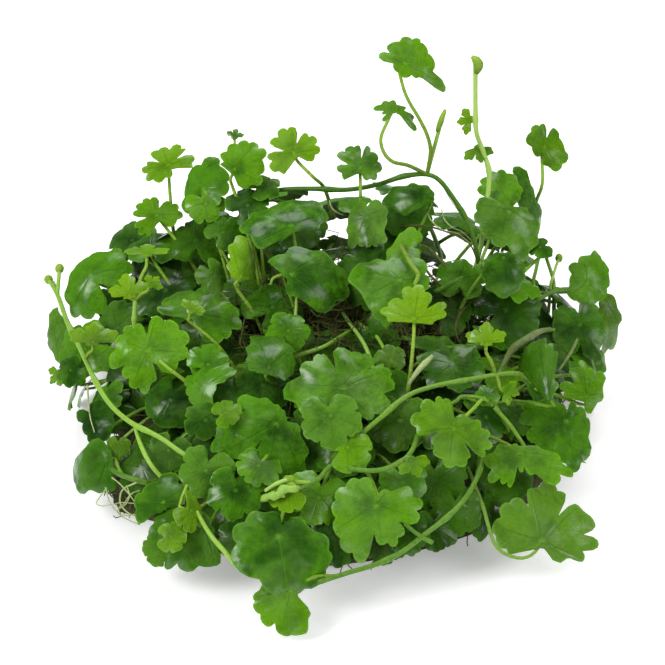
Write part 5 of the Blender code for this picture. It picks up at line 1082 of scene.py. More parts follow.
def add_blade(growth, name, attach, axes, radius, style, corners, chance):
    """A lobed blade with a toothed edge, a groove along each main vein and real thickness."""
    rings = BLADE_RINGS if radius > SMALL_BLADE_RADIUS else SMALL_BLADE_RINGS
    samples = TOOTH_SAMPLES if len(corners) < MANY_CORNERS else TOOTH_SAMPLES - 1
    angles, reach, across, minor = blade_outline(corners, samples)
    middle, side, face = (np.array(axis) for axis in axes)
    share = np.array(rings)[:, None]
    wrap = HEART_ROUNDING // 2
    padded = np.concatenate([reach[-wrap:], reach, reach[:wrap]])
    rounded = np.convolve(padded, np.ones(HEART_ROUNDING) / HEART_ROUNDING, "valid")
    blend = share**2
    out = share * (rounded * (1 - blend) + reach * blend)
    along = out * np.cos(angles)
    beside = out * np.sin(angles)
    phase, shift = chance.uniform(0, 2 * math.pi), chance.uniform(0, 2 * math.pi)
    far = out / radius
    rise = -style.droop * out * far - style.fold * (np.hypot(beside, FOLD_SOFTNESS) - FOLD_SOFTNESS)
    for (ripple, waves, power), start in zip(RIPPLES, (phase, shift, 2 * phase, 3 * shift)):
        rise += ripple * style.wave * radius * far**power * np.sin(waves * angles + start)
    groove = np.exp(-(across * GROOVE_TIGHTNESS) ** 2) * (1 - MINOR_GROOVE_LOSS * minor)
    rise -= VEIN_GROOVE * radius * groove * np.sin(math.pi * share)
    twist = chance.uniform(-BLADE_TWIST, BLADE_TWIST)
    rise += twist * along * beside / radius - RIM_CURL * radius * far**6
    half = FINE_THICKNESS / 2 * (1 - share**3)
    flat = np.array(attach) + along[..., None] * middle + beside[..., None] * side

    def sheet(offset):
        """Points of one side of the blade, off its middle by an offset."""
        return (flat + (rise + offset)[..., None] * face).reshape(-1, 3)

    columns = len(angles)
    count = len(rings) * columns
    upper, lower = sheet(half), sheet(-half)[:-columns]
    centre = np.array(attach)
    skin = face * FINE_THICKNESS / 2
    points = np.vstack([upper, lower, centre + skin, centre - skin])
    top_centre, low_centre = count + len(lower), count + len(lower) + 1

    def under(ring, column):
        """Index of a point on the underside, which shares the rim with the top."""
        return (count if ring < len(rings) - 1 else 0) + ring * columns + column

    faces = []
    for column in range(columns):
        after = (column + 1) % columns
        faces.append((top_centre, column, after))
        faces.append((low_centre, under(0, after), under(0, column)))
        for ring in range(len(rings) - 1):
            a, b = ring * columns + column, ring * columns + after
            c, d = under(ring, column), under(ring, after)
            faces.append((a, a + columns, b + columns, b))
            faces.append((c, d, under(ring + 1, after), under(ring + 1, column)))
    rim = (len(rings) - 1) * columns
    growth.sharp(rim, columns)
    wide = np.tile(across, len(rings))
    ways = np.repeat(rings, columns)
    small = np.tile(minor, len(rings)) * MINOR
    places = np.vstack([
        np.column_stack([wide, ways, TOP + small]),
        np.column_stack([wide[:-columns], ways[:-columns], UNDERSIDE + small[:-columns]]),
        (0, 0, TOP),
        (0, 0, UNDERSIDE),
    ])
    hue, light, age = chance.random(), chance.random(), chance.random()
    tint = (hue, LEAF_LIGHTS.get(name, light), age)
    growth.add(points, faces, style.finish, places, tint)
    return tint


def add_tube(growth, path, radii, sides, look, tint):
    """A round closed tube along a path."""
    points = []
    lean = FIRST_LEAN
    for index, point in enumerate(path):
        tangent = (path[min(index + 1, len(path) - 1)] - path[max(index - 1, 0)]).normalized()
        lean = lean - tangent * lean.dot(tangent)
        if lean.length < SHORT_LEAN:
            lean = tangent.orthogonal()
        lean.normalize()
        flank = tangent.cross(lean)
        for step in range(sides):
            angle = 2 * math.pi * step / sides
            points.append(point + (lean * math.cos(angle) + flank * math.sin(angle)) * radii[index])
    faces = []
    for ring in range(len(path) - 1):
        for step in range(sides):
            after = (step + 1) % sides
            a, b = ring * sides + step, ring * sides + after
            faces.append((a, b, b + sides, a + sides))
    faces.append(tuple(reversed(range(sides))))
    faces.append(tuple(range((len(path) - 1) * sides, len(path) * sides)))
    ways = np.repeat(np.linspace(0, 1, len(path)), sides)
    places = np.column_stack([np.zeros(len(points)), ways, np.full(len(points), STALK)])
    growth.add(points, faces, look, places, tint)


def add_varied_tube(growth, widths, points, sides, look, tint):
    """A tube through points given across, up and lift, with radii that vary along it."""
    path = smooth_path([on_canopy(*point) for point in points], RINGS_A_SPAN * (len(points) - 1))
    radii = np.interp(np.linspace(0, 1, len(path)), np.linspace(0, 1, len(widths)), widths)
    add_tube(growth, path, radii, sides, look, tint)


def add_ball(growth, centre, radius, stretch, look, tint):
    """A small rounded bud, stretched along an axis by the axis's length."""
    work = bmesh.new()
    bmesh.ops.create_icosphere(work, subdivisions=2, radius=radius)
    axis = stretch.normalized()
    points = []
    for vert in work.verts:
        along = axis.dot(vert.co)
        points.append(centre + vert.co + axis * along * (stretch.length - 1))
    faces = [tuple(vert.index for vert in face.verts) for face in work.faces]
    work.free()
    growth.add(points, faces, look, np.tile((0, 0.5, STALK), (len(points), 1)), tint)


def add_leaf(growth, name, attach, axes, radius, style, controls, chance):
    """A blade on its stalk, which thins towards the blade."""
    style = style._replace(finish=LEAF_LOOKS.get(name, style.finish))
    if name in OUTLINES:
        corners = seen_outline(name, axes, style, radius)
    else:
        corners = usual_outline(style, radius, chance)
    tint = add_blade(growth, name, attach, axes, radius, style, corners, chance)
    end = attach - axes[2] * FINE_THICKNESS * STALK_TIP_DEPTH
    is_small = radius <= SMALL_BLADE_RADIUS
    rings = max(SMALL_STALK_RINGS if is_small else STALK_RINGS, RINGS_A_BEND * len(controls))
    path = stalk_path(end, axes, controls, rings)
    thin = SMALL_STALK_TAPER if is_small else STALK_TAPER
    radii = [STALK_RADIUS * (1 - (1 - thin) * index / (len(path) - 1)) for index in range(len(path))]
    add_tube(growth, path, radii, STALK_SIDES, style.finish, tint)


class Field:
    """A number that changes over a surface; arithmetic on it adds the maths nodes."""

    def __init__(self, tree, socket):
        self.tree = tree
        self.socket = socket

    def maths(self, operation, first, second=None):
        """The field that a maths node makes of one or two values."""
        node = self.tree.nodes.new("ShaderNodeMath")
        node.operation = operation
        for socket, value in zip(node.inputs, (first, second)):
            if isinstance(value, Field):
                self.tree.links.new(value.socket, socket)
            elif value is not None:
                socket.default_value = value
        return Field(self.tree, node.outputs[0])

    def __add__(self, other):
        return self.maths("ADD", self, other)

    __radd__ = __add__

    def __sub__(self, other):
        return self.maths("SUBTRACT", self, other)

    def __rsub__(self, other):
        return self.maths("SUBTRACT", other, self)

    def __mul__(self, other):
        return self.maths("MULTIPLY", self, other)

    __rmul__ = __mul__

    def __truediv__(self, other):
        return self.maths("DIVIDE", self, other)

    def wave(self):
        """Its sine."""
        return self.maths("SINE", self)


class Nodes:
    """A node tree in the making, and one way to add any node to it."""

    def __init__(self, tree):
        self.tree = tree

    def add(self, kind, settings=None, inputs=None):
        """A node of a type, with its settings set first and then the values or links of its sockets."""
        node = self.tree.nodes.new(kind)
        for key, value in (settings or {}).items():
            setattr(node, key, value)
        for key, value in (inputs or {}).items():
            self.feed(node.inputs[key], value)
        return node

    def feed(self, socket, value):
        """Links a field or a socket to a socket, or sets a plain value on it."""
        if isinstance(value, Field):
            self.tree.links.new(value.socket, socket)
        elif isinstance(value, bpy.types.NodeSocket):
            self.tree.links.new(value, socket)
        else:
            socket.default_value = value


class Finish(Nodes):
    """A material in the making, with its shader; constants are set on the shader's own sockets."""

    def __init__(self, name, **constants):
        self.material = bpy.data.materials.new(name)
        self.material.use_nodes = True
        super().__init__(self.material.node_tree)
        self.shader = self.tree.nodes["Principled BSDF"]
        for socket, value in constants.items():
            self.shader.inputs[socket.replace("_", " ")].default_value = value

    def field(self, node, output=0):
        """A node's output as a field."""
        return Field(self.tree, node.outputs[output])

    def attribute(self, name):
        """The three numbers of a surface value."""
        read = self.add("ShaderNodeAttribute", {"attribute_name": name})
        parts = self.add("ShaderNodeSeparateXYZ", None, {0: read.outputs["Vector"]})
        return [self.field(parts, index) for index in range(3)]

    def grain(self, scale, detail=3.0, roughness=0.55, distortion=0.0):
        """Noise over the object, from 0 to 1, with its scale in patches a metre."""
        values = {
            "Vector": self.add("ShaderNodeTexCoord").outputs["Object"], "Scale": scale, "Detail": detail,
            "Roughness": roughness, "Distortion": distortion,
        }
        return self.field(self.add("ShaderNodeTexNoise", None, values), "Fac")

    def step(self, value, low, high):
        """0 below low, 1 over high, and smooth between."""
        node = self.add(
            "ShaderNodeMapRange",
            {"interpolation_type": "SMOOTHSTEP"},
            {"Value": value, "From Min": low, "From Max": high},
        )
        return self.field(node)

    def blend(self, factor, first, second):
        """A colour between two colours or colour sockets."""
        node = self.add("ShaderNodeMix", {"data_type": "RGBA"}, {0: factor})
        for index, value in ((6, first), (7, second)):
            self.feed(node.inputs[index], value if isinstance(value, bpy.types.NodeSocket) else (*value, 1))
        return node.outputs[2]

    def set(self, socket, value):
        """Gives a value to a socket of the shader."""
        self.feed(self.shader.inputs[socket], value)

    def bump(self, height, strength, distance):
        """Raises the surface by a height, in its shading only."""
        values = {"Height": height, "Strength": strength, "Distance": distance}
        self.set("Normal", self.add("ShaderNodeBump", None, values).outputs[0])


# Colour of the painted sheen on a leaf: grey-green patches that stand for light gleaming off it
PAINTED_SHEEN = (0.150, 0.290, 0.055)
# Scales of the grain on a leaf, in patches a metre
BROAD, MOTTLE, FINE, NET = 230, 900, 3200, 4600
# Scales of the patches of painted sheen and of the wet patches, in patches a metre
PAINTED_SHEEN_PATCHES, WET_PATCHES = 150, 210
# Side veins along a lobe, and how much they slant back
SIDE_VEINS, SIDE_VEIN_SLANT = 6, 2.2


def leaf_finish(name, deep, fresh, under, stalk, roughness, veining):
    """Leaf tissue: a waxy top with faint veins, wet patches and painted sheen, a paler underside, and a pale
    stalk.
    """
    made = Finish(name, Coat_Roughness=0.24, Specular_IOR_Level=0.08)
    across, way, kind = made.attribute("place")
    hue, light, age = made.attribute("tint")
    is_under = made.step(kind, 0.5, 0.8)
    is_stalk = made.step(kind, 1.5, 1.8)
    is_minor = (kind - is_under - is_stalk) / MINOR
    broad = made.grain(BROAD, 2)
    mottle = made.grain(MOTTLE, 3)
    fine = made.grain(FINE, 2)
    midrib = (1 - made.step(across * way, 0.0, 0.075)) * (1 - is_minor * 0.8)
    midrib *= 1 - made.step(way, 0.55, 0.95)
    slant = way * SIDE_VEINS - across * SIDE_VEIN_SLANT
    side_veins = made.step((slant * (2 * math.pi)).wave(), 0.88, 1.0)
    net = made.step(made.grain(NET, 1), 0.60, 0.75)
    veins = midrib + side_veins * 0.30 + net * 0.12
    edge = made.step(way, 0.93, 0.995)
    heart = 1 - made.step(way, 0.02, 0.12)
    tone = broad * 1.45 + light * 0.75 + mottle * 0.45 + way * 0.30 - 0.98
    blade = made.blend(made.step(tone, 0.0, 0.9), deep, fresh)
    yellower = (1.35 * fresh[0], 1.05 * fresh[1], 0.8 * fresh[2])
    blade = made.blend(made.step(hue, 0.35, 1.3) * broad, blade, yellower)
    pale = tuple(min(1, 1.5 * c + 0.02) for c in fresh)
    # Painted sheen: grey-green patches blended into the top's colour stand for light gleaming off the leaf
    painted_sheen = made.step(made.grain(PAINTED_SHEEN_PATCHES, 2, 0.5, 0.6) + age * 0.10, 0.50, 0.72)
    blade = made.blend(painted_sheen * 0.22, blade, PAINTED_SHEEN)
    blade = made.blend(veins * veining, blade, pale)
    blade = made.blend(edge * 0.38 + heart * 0.35, blade, pale)
    below = made.blend(veins * 0.30, under, tuple(min(1, 1.25 * c) for c in under))
    colour = made.blend(is_under, blade, below)
    stalk_foot = tuple(0.5 * c for c in stalk)
    stalk_colour = made.blend(made.step(way + mottle * 0.3, 0.0, 1.1), stalk_foot, stalk)
    colour = made.blend(is_stalk, colour, stalk_colour)
    made.set("Base Color", colour)
    wet = made.step(made.grain(WET_PATCHES, 3) + age * 0.16, 0.54, 0.70) * (1 - is_under)
    made.set("Coat Weight", wet * 0.85)
    made.set("Roughness", roughness + 0.20 * mottle - 0.08 * wet + 0.10 * is_under)
    made.bump(fine * 0.25 + mottle * 1.2 + broad * 2.2 - veins * 0.7, 0.75, 0.0006)
    return made.material


def stem_finish(name, dark, light, roughness):
    """Stem tissue: green with faint lengthwise streaks, lighter towards its tip."""
    made = Finish(name, Coat_Weight=0.10, Coat_Roughness=0.25, Specular_IOR_Level=0.25)
    _, way, _ = made.attribute("place")
    _, shade, _ = made.attribute("tint")
    streaks = made.grain(1500, 3)
    tone = made.step(streaks * 0.50 + shade * 0.70 + way * 0.15, 0.20, 1.15)
    made.set("Base Color", made.blend(tone, dark, light))
    made.set("Roughness", roughness + 0.15 * streaks)
    made.bump(streaks, 0.4, 0.0002)
    return made.material


def root_finish(name, dark, light, roughness, scale):
    """Fibrous roots, from dark to light by strand and by patch."""
    made = Finish(name, Specular_IOR_Level=0.3)
    patches = made.grain(260, 4, 0.65)
    fibres = made.grain(scale, 5, 0.7, 1.5)
    tone = made.step(patches * 0.55 + fibres * 0.6, 0.32, 0.85)
    made.set("Base Color", made.blend(tone, dark, light))
    made.set("Roughness", roughness - 0.1 * fibres)
    made.bump(fibres, 0.9, 0.0006)
    return made.material


# Colours of the leaf finishes: deep, fresh, underside and stalk, then roughness and how strongly veins show
LEAF_FINISHES = {
    "leaf_young": (
        (0.052, 0.155, 0.001), (0.140, 0.310, 0.003), (0.130, 0.260, 0.014), (0.270, 0.450, 0.050),
        0.42, 0.28,
    ),
    "leaf_fresh": (
        (0.023, 0.098, 0.001), (0.095, 0.266, 0.002), (0.105, 0.220, 0.014), (0.235, 0.415, 0.042),
        0.38, 0.28,
    ),
    "leaf_grown": (
        (0.013, 0.066, 0.001), (0.068, 0.226, 0.002), (0.085, 0.190, 0.016), (0.200, 0.380, 0.040),
        0.40, 0.28,
    ),
    "leaf_old": (
        (0.007, 0.038, 0.001), (0.038, 0.140, 0.001), (0.060, 0.142, 0.015), (0.150, 0.310, 0.030),
        0.36, 0.24,
    ),
    # A greyer, bluer copy of the grown leaf's colours: painted sheen for the leaves that gleam grey
    "leaf_pale": (
        (0.018, 0.080, 0.001), (0.084, 0.220, 0.012), (0.105, 0.215, 0.042), (0.200, 0.360, 0.055),
        0.38, 0.30,
    ),
}


# Colours of the stems from dark to light, then roughness
STEM_FINISHES = {
    "stem": ((0.040, 0.140, 0.003), (0.270, 0.480, 0.050), 0.42),
    # pale_stem: a pale green that is partly the stem's own colour and partly painted light shining off and
    # through it
    "pale_stem": ((0.190, 0.370, 0.040), (0.360, 0.560, 0.120), 0.38),
}
# Colours of roots and dead stems from dark to light, then roughness and grain
ROOT_FINISHES = {
    "roots": ((0.010, 0.010, 0.002), (0.115, 0.112, 0.032), 0.90, 1900),
    "root_strands": ((0.020, 0.028, 0.003), (0.150, 0.180, 0.032), 0.75, 900),
    "pale_roots": ((0.260, 0.350, 0.110), (0.560, 0.660, 0.300), 0.55, 900),
    "dead_stem": ((0.100, 0.150, 0.035), (0.260, 0.340, 0.120), 0.65, 1400),
}


def make_finishes():
    """All finishes by name."""
    makers = ((leaf_finish, LEAF_FINISHES), (stem_finish, STEM_FINISHES), (root_finish, ROOT_FINISHES))
    return {name: make(name, *values) for make, table in makers for name, values in table.items()}


def nearest_on(path, point):
    """The place on a stem nearest to a point, short of the stem's ends."""
    return min(path[STEM_END_SHARE:-STEM_END_SHARE], key=lambda place: (place - point).length)


def finish_piece(growth, name, finishes, nodes):
    """Builds the gathered mesh, lets it ride, and lets it stand for the solids that it replaces."""
    piece = growth.build(name, finishes)
    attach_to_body(piece, "root")
    if nodes:
        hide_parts(*nodes)


def single_leaf(leaf, mat_tree, finishes, chance):
    """The fine form of a leaf that has its own solid, found on that solid."""
    start, axes = leaf_stand(leaf)
    solid = Solid(leaf.name)
    attach = solid.leaf_place(start, -sight_line(leaf.across, leaf.up), axes[2])
    shown = [on_canopy(*point) for point in reversed(STALKS.get(leaf.name, ()))]
    if shown:
        routes = [[point + ACROSS * shift for point in shown] for shift in STALK_SHIFTS]
    else:
        routes = [[foot_on_mat(attach, swing, mat_tree)] for swing in FOOT_SWINGS]
    growth = Growth()
    style = STYLES[leaf.style]
    add_leaf(growth, leaf.name, attach, axes, leaf.radius, style, solid.foot(routes), chance)
    finish = style.finish
    slot = "leaf_young" if finish == "leaf_fresh" else finish
    finish_piece(growth, f"{leaf.name}_fine", finishes, [leaf.name])


def add_stem(growth, name, path, chance):
    """A creeping stem that swells a little at its joints; its fine path is given back."""
    fine = smooth_path(path, STEM_RINGS)
    half = STEM_JOINT // 2
    radii = []
    for index in range(len(fine)):
        joint = abs(index % STEM_JOINT - half) / half
        tip = STEM_TIP if index in (0, len(fine) - 1) else 1
        radii.append(STEM_RADIUS * (STEM_WAIST + STEM_SWELLING * joint**6) * tip)
    shade = STEM_SHADES.get(name, USUAL_STEM_SHADE)
    look = STEM_LOOKS.get(name, "stem")
    add_tube(growth, fine, radii, STEM_SIDES, look, (chance.random(), shade, chance.random()))
    return fine


def grow_shoot(name, path, leaves, buds, finishes, chance):
    """The fine form of a creeping stem with its buds and leaves, each a row, place, axes and direction."""
    solid = Solid(name)
    growth = Growth()
    fine_path = add_stem(growth, name, path, chance)
    for leaf, start, axes, direction in leaves:
        attach = solid.leaf_place(start, direction, axes[2])
        shown = [on_canopy(*point) for point in reversed(STALKS.get(leaf.name, ()))]
        below = shown[0] if shown else start - axes[2] * STALK_START_SHARE * leaf.radius
        foot = nearest_on(fine_path, below)
        controls = [foot, *shown[1:]]
        add_leaf(growth, leaf.name, attach, axes, leaf.radius, STYLES[leaf.style], controls, chance)
    for centre in buds:
        foot = nearest_on(fine_path, centre)
        tint = (chance.random(), BUD_TINT[1], chance.random())
        if name in LONG_BUDS:
            add_varied_tube(growth, *LONG_BUDS[name], BUD_SIDES, "leaf_young", tint)
        else:
            stretch = (centre - foot).normalized() * BUD_STRETCH
            add_ball(growth, centre, BUD_RADIUS, stretch, "leaf_young", tint)
        if (centre - foot).length > BUD_RADIUS:
            course = smooth_path([foot, foot.lerp(centre, 0.5), centre], RINGS_A_SPAN)
            add_tube(growth, course, [STALK_RADIUS] * len(course), STALK_SIDES, "stem", tint)
    finish_piece(growth, f"{name}_fine", finishes, [name])


def front_shoot(shoot, finishes, chance):
    """A creeping stem of the front, whose course and leaves are given as seen from there."""
    path = smooth_path([on_canopy(*point) for point in shoot.stem], STEM_STEPS)
    leaves = [
        (leaf, *leaf_stand(leaf), -sight_line(leaf.across, leaf.up))
        for leaf in shoot.leaves
    ]
    grow_shoot(shoot.name, path, leaves, [on_canopy(*bud) for bud in shoot.buds], finishes, chance)


def back_shoot(shoot, finishes, chance):
    """An arching shoot of the hidden side, with its leaves to both sides of it."""
    turn = Matrix.Rotation(math.radians(shoot.direction), 3, "Z")
    course = [turn @ Vector((shoot.reach * out, 0, shoot.height * up)) for out, up in BACK_COURSE]
    path = smooth_path(course, STEM_STEPS)
    fine_path = smooth_path(path, STEM_RINGS)
    leaves = []
    for leaf in BACK_LEAVES:
        tilt = math.radians(leaf.tilt)
        face = turn @ Vector((math.sin(tilt), 0, math.cos(tilt)))
        outward = turn @ Matrix.Rotation(math.radians(leaf.heading), 3, "Z") @ Vector((1, 0, 0))
        middle = (outward - face * outward.dot(face)).normalized()
        on_stem = fine_path[round(leaf.share * (len(fine_path) - 1))]
        attach = on_stem + turn @ Vector((0, leaf.sideways, 0)) + face * leaf.rise
        leaves.append((leaf, attach, (middle, face.cross(middle), face), face))
    grow_shoot(shoot.name, path, leaves, [], finishes, chance)


def add_more_leaf(growth, leaf, mat_tree, chance):
    """A leaf that has no solid of its own, on a stalk from the mat."""
    attach, axes = leaf_stand(leaf)
    foot = foot_on_mat(attach, chance.uniform(-LEAF_FOOT_SWING, LEAF_FOOT_SWING), mat_tree)
    add_leaf(growth, leaf.name, attach, axes, leaf.radius, STYLES[leaf.style], [foot], chance)


def more_leaves(mat_tree, finishes, chance):
    """The smaller leaves of the front view, as one piece."""
    growth = Growth()
    for leaf in MORE_LEAVES:
        add_more_leaf(growth, leaf, mat_tree, chance)
    finish_piece(growth, "small_leaves_front", finishes, [])


def backdrop_leaves(mat_tree, finishes, chance):
    """Dark leaves deep in the crown, which close the view between the leaves that show."""
    growth = Growth()
    places = [(across, up, lift) for up, lift, columns in BACKDROP_ROWS for across in columns]
    for place in places:
        moved = [value + chance.uniform(-BACKDROP_SPREAD, BACKDROP_SPREAD) for value in place]
        radius = chance.uniform(*BACKDROP_RADII)
        heading = chance.uniform(0, 360)
        turn = chance.uniform(-BACKDROP_TURN, BACKDROP_TURN)
        leaf = Leaf("", *moved, radius, heading, turn, BACKDROP_TIP, "dark")
        add_more_leaf(growth, leaf, mat_tree, chance)
    finish_piece(growth, "crown_leaves_deep", finishes, [])


def add_strands(finishes, chance):
    """The loose stems, roots, tendrils and buds."""
    growth = Growth()
    for look, widths, points in STRANDS:
        tint = (chance.random(), chance.random(), chance.random())
        add_varied_tube(growth, widths, points, STALK_SIDES, look, tint)
    for across, up, lift, radius in LOOSE_BUDS:
        centre = on_canopy(across, up, lift)
        add_ball(growth, centre, radius, UPWARDS * LOOSE_BUD_STRETCH, "leaf_fresh", BUD_TINT)
    finish_piece(growth, "loose_stems_and_roots", finishes, [])


def strand_tree():
    """Geometry nodes that lay curling strands over a surface: each starts on it and wanders along it."""
    tree = bpy.data.node_groups.new("root_strands", "GeometryNodeTree")
    sockets = {}
    for label, kind in (
        ("Geometry", "Geometry"), ("Density", "Float"), ("Length", "Float"), ("Radius", "Float"),
        ("Curl", "Float"), ("Lift", "Float"), ("Seed", "Int"), ("Finish", "Material"),
    ):
        sockets[label] = tree.interface.new_socket(label, in_out="INPUT", socket_type=f"NodeSocket{kind}")
    tree.interface.new_socket("Geometry", in_out="OUTPUT", socket_type="NodeSocketGeometry")
    add = Nodes(tree).add
    given = add("NodeGroupInput").outputs
    seed = given["Seed"]
    points = add(
        "GeometryNodeDistributePointsOnFaces",
        {"distribute_method": "RANDOM"},
        {"Mesh": given["Geometry"], "Density": given["Density"], "Seed": seed},
    ).outputs
    lean = STRAND_LEAN
    spin = add(
        "FunctionNodeRandomValue",
        {"data_type": "FLOAT_VECTOR"},
        {"Min": (-lean, -lean, 0), "Max": (lean, lean, STRAND_SPIN), "Seed": seed},
    )
    turned = add(
        "FunctionNodeRotateRotation",
        {"rotation_space": "LOCAL"},
        {"Rotation": points["Rotation"], "Rotate By": spin.outputs["Value"]},
    )
    least, most = STRAND_SIZES
    size = add("FunctionNodeRandomValue", {"data_type": "FLOAT"}, {"Min": least, "Max": most, "Seed": seed})
    reach = add("ShaderNodeCombineXYZ", None, {"X": given["Length"]})
    line = add("GeometryNodeCurvePrimitiveLine", None, {"End": reach.outputs[0]})
    steps = add(
        "GeometryNodeResampleCurve", {"mode": "COUNT"}, {"Curve": line.outputs[0], "Count": STRAND_RINGS}
    )
    strands = add(
        "GeometryNodeInstanceOnPoints",
        None,
        {
            "Points": points["Points"], "Instance": steps.outputs[0], "Rotation": turned.outputs[0],
            "Scale": size.outputs[1],
        },
    )
    real = add("GeometryNodeRealizeInstances", None, {"Geometry": strands.outputs[0]})
    place = add("GeometryNodeInputPosition").outputs[0]
    wander = add("ShaderNodeTexNoise", None, {"Vector": place, "Scale": WANDER_SCALE, "Detail": 1.0})
    centred = add(
        "ShaderNodeVectorMath", {"operation": "SUBTRACT"}, {0: wander.outputs["Color"], 1: (0.5, 0.5, 0.5)}
    )
    curled = add(
        "ShaderNodeVectorMath", {"operation": "SCALE"}, {0: centred.outputs[0], "Scale": given["Curl"]}
    )
    along = Field(tree, add("GeometryNodeSplineParameter").outputs["Factor"])
    height = along.wave() * Field(tree, given["Lift"])
    lifted = add("ShaderNodeCombineXYZ", None, {"Z": height})
    offset = add(
        "ShaderNodeVectorMath", {"operation": "ADD"}, {0: curled.outputs[0], 1: lifted.outputs[0]}
    )
    moved = add(
        "GeometryNodeSetPosition", None, {"Geometry": real.outputs[0], "Offset": offset.outputs[0]}
    )
    profile = add(
        "GeometryNodeCurvePrimitiveCircle",
        {"mode": "RADIUS"},
        {"Resolution": STRAND_SIDES, "Radius": given["Radius"]},
    )
    tubes = add(
        "GeometryNodeCurveToMesh",
        None,
        {"Curve": moved.outputs[0], "Profile Curve": profile.outputs[0], "Fill Caps": True},
    )
    realized = add("GeometryNodeRealizeInstances", None, {"Geometry": tubes.outputs[0]})
    dressed = add(
        "GeometryNodeSetMaterial", None, {"Geometry": realized.outputs[0], "Material": given["Finish"]}
    )
    add("NodeGroupOutput", None, {"Geometry": dressed.outputs[0]})
    return tree, {label: socket.identifier for label, socket in sockets.items()}


def heap_surface():
    """The low heap in the middle of the clump that strands of root cover: its top, then rings down."""
    points = [Vector((0, HEAP_SHIFT, HEAP_HEIGHT)) * MM]
    faces = []
    for ring in range(HEAP_RINGS):
        polar = 2 * math.pi * (ring + 1) / HEAP_SEGMENTS
        reach, height = HEAP_RADIUS * math.sin(polar), HEAP_HEIGHT * math.cos(polar)
        for step in range(HEAP_SEGMENTS):
            around = 2 * math.pi * step / HEAP_SEGMENTS
            x, y = reach * math.cos(around), HEAP_SHIFT + reach * math.sin(around)
            points.append(Vector((x, y, height)) * MM)
            here = 1 + ring * HEAP_SEGMENTS + step
            after = 1 + ring * HEAP_SEGMENTS + (step + 1) % HEAP_SEGMENTS
            if ring:
                faces.append((here - HEAP_SEGMENTS, here, after, after - HEAP_SEGMENTS))
            else:
                faces.append((0, here, after))
    heap = bpy.data.meshes.new("heap_surface")
    heap.from_pydata(points, [], faces)
    return heap


def covered_mat(mat_piece):
    """The mat's surface above the floor, which strands of root cover."""
    covered = mat_piece.data.copy()
    work = bmesh.new()
    work.from_mesh(covered)
    low = [face for face in work.faces if face.calc_center_median().z < LOWEST_STRAND * MM]
    bmesh.ops.delete(work, geom=low, context="FACES")
    work.to_mesh(covered)
    work.free()
    return covered


def cut_low_strands(laid):
    """Deletes the strands that come down to the floor."""
    work = bmesh.new()
    work.from_mesh(laid)
    work.verts.ensure_lookup_table()
    low = {vert.index // STRAND_POINTS for vert in work.verts if vert.co.z < STRAND_FLOOR_GAP * MM}
    cut = [vert for vert in work.verts if vert.index // STRAND_POINTS in low]
    bmesh.ops.delete(work, geom=cut, context="VERTS")
    work.to_mesh(laid)
    work.free()


def root_tangle(mat_piece, finishes):
    """Strands of root all over the mat, and a looser heap of them in the middle of the clump."""
    tree, identifiers = strand_tree()
    heap = heap_surface()
    covered = covered_mat(mat_piece)
    for name, surface, values in (
        ("root_strands_mat", covered, MAT_STRANDS),
        ("root_strands_heap", heap, HEAP_STRANDS),
    ):
        piece = bpy.data.objects.new(name, surface)
        bpy.context.scene.collection.objects.link(piece)
        nodes = piece.modifiers.new("strands", "NODES")
        nodes.node_group = tree
        for label, value in values.items():
            nodes[identifiers[label]] = value
        nodes[identifiers["Finish"]] = finishes["root_strands"]
        bpy.context.view_layer.update()
        laid = bpy.data.meshes.new_from_object(piece.evaluated_get(bpy.context.evaluated_depsgraph_get()))
        piece.modifiers.remove(nodes)
        piece.data = laid
        laid.name = name
        cut_low_strands(laid)
        laid.shade_smooth()
        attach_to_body(piece, "root")


def fill_leaves(mat_tree, finishes, chance):
    """Leaves all round the flanks and over the hidden side, in rings that face up and out."""
    sides = {"fill_leaves_front": Growth(), "fill_leaves_back": Growth()}
    hollow_x, hollow_y, hollow_reach = HOLLOW
    for height_share, reach, count, radius, tilt, front_limit in FILL_RINGS:
        for index in range(count):
            direction = math.radians(360 * (index + 0.5) / count + chance.uniform(-FILL_SWING, FILL_SWING))
            out = Vector((math.cos(direction), math.sin(direction), 0))
            attach = out * (reach + chance.uniform(-FILL_SPREAD, FILL_SPREAD))
            attach.z = CANOPY_HEIGHT * height_share + chance.uniform(-FILL_LIFT, FILL_LIFT)
            is_in_hollow = math.hypot(attach.x - hollow_x, attach.y - hollow_y) < hollow_reach
            if out.y < front_limit or is_in_hollow:
                continue
            size = radius * chance.uniform(*FILL_SIZES)
            lean = math.radians(tilt + chance.uniform(-FILL_LEAN, FILL_LEAN))
            face = (out * math.sin(lean) + UPWARDS * math.cos(lean)).normalized()
            swing = Matrix.Rotation(math.radians(chance.uniform(-FILL_TURN, FILL_TURN)), 3, "Z")
            middle = swing @ out
            middle = (middle - face * middle.dot(face)).normalized()
            lowest = attach.z + middle.z * size - FILL_RIM_SINK
            attach.z = max(attach.z, attach.z - lowest + FILL_FLOOR_GAP)
            foot = foot_on_mat(attach, chance.uniform(-FILL_FOOT_SWING, FILL_FOOT_SWING), mat_tree)
            growth = sides["fill_leaves_front" if attach.y < 0 else "fill_leaves_back"]
            style = STYLES[chance.choice(FILL_STYLES)]
            add_leaf(growth, "", attach, (middle, face.cross(middle), face), size, style, [foot], chance)
    for name, growth in sides.items():
        finish_piece(growth, name, finishes, [])


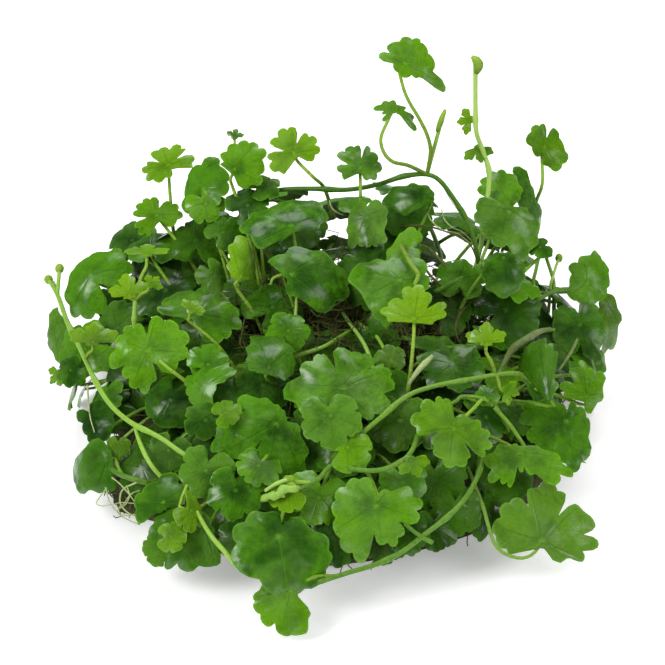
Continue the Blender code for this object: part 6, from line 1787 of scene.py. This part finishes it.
def fine_mat(finishes):
    """The root mat with a lumpy, stringy surface, finer than its solid."""
    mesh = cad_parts["root_mat"].data.copy()
    work = bmesh.new()
    work.from_mesh(mesh)
    bmesh.ops.remove_doubles(work, verts=work.verts, dist=0.00001)
    bmesh.ops.subdivide_edges(work, edges=work.edges, cuts=MAT_CUTS, use_grid_fill=True)
    bmesh.ops.triangulate(work, faces=work.faces)
    work.normal_update()
    for vert in work.verts:
        if vert.co.z < MAT_SOLE * MM:
            continue
        place = vert.co / MM
        lump = sum(noise.noise(place * density) * height for density, height in MAT_LUMPS)
        vert.co += vert.normal * lump * MM
        vert.co.z = max(vert.co.z, MAT_LOWEST * MM)
    work.to_mesh(mesh)
    work.free()
    mesh.name = "root_mat_fine"
    mesh.materials.clear()
    mesh.materials.append(finishes["roots"])
    mesh.shade_smooth()
    piece = bpy.data.objects.new("root_mat_fine", mesh)
    bpy.context.scene.collection.objects.link(piece)
    return piece


def add_stage():
    """A plain pale floor, soft studio lights and the camera on the line of sight."""
    bpy.ops.mesh.primitive_plane_add(size=FLOOR_SIZE, location=(0, 0, 0))
    floor = bpy.context.object
    floor.name = "floor"
    paint = Finish("floor", Roughness=0.9)
    paint.set("Base Color", FLOOR_COLOUR)
    paint.set("Emission Color", WHITE)
    paint.set("Emission Strength", FLOOR_GLOW)
    floor.data.materials.append(paint.material)
    world = bpy.data.worlds.new("studio")
    bpy.context.scene.world = world
    world.use_nodes = True
    background = world.node_tree.nodes["Background"]
    background.inputs["Color"].default_value = WHITE
    background.inputs["Strength"].default_value = SKY_GLOW
    world.cycles_visibility.glossy = False
    for name, place, size, power, is_glossy in LAMPS:
        light = bpy.data.lights.new(name, "AREA")
        light.size = size
        light.energy = power
        lamp = bpy.data.objects.new(name, light)
        lamp.location = place
        lamp.visible_glossy = is_glossy
        lamp.rotation_euler = (-Vector(place)).to_track_quat("-Z", "Y").to_euler()
        bpy.context.scene.collection.objects.link(lamp)
    lens = bpy.data.cameras.new("camera")
    lens.sensor_width = SENSOR_WIDTH
    lens.lens = SENSOR_WIDTH * SIGHT_DISTANCE / PICTURE_WIDTH
    camera = bpy.data.objects.new("camera", lens)
    camera.location = EYE * MM
    camera.rotation_euler = (-TO_THE_EYE).to_track_quat("-Z", "Y").to_euler()
    bpy.context.scene.collection.objects.link(camera)
    bpy.context.scene.camera = camera
    bpy.context.scene.view_settings.view_transform = "Standard"


def main():
    """Builds every piece, then the stage."""
    chance = random.Random(SEED)
    finishes = make_finishes()
    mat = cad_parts["root_mat"].data
    mat_tree = BVHTree.FromPolygons(
        [vert.co / MM for vert in mat.vertices], [tuple(face.vertices) for face in mat.polygons]
    )
    for shoot in SHOOTS:
        front_shoot(shoot, finishes, chance)
    for shoot in BACK_SHOOTS:
        back_shoot(shoot, finishes, chance)
    for leaf in LEAVES:
        single_leaf(leaf, mat_tree, finishes, chance)
    more_leaves(mat_tree, finishes, chance)
    backdrop_leaves(mat_tree, finishes, chance)
    fill_leaves(mat_tree, finishes, chance)
    add_strands(finishes, chance)
    piece = fine_mat(finishes)
    root_tangle(piece, finishes)
    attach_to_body(piece, "root")
    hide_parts("root_mat")
    add_stage()


main()
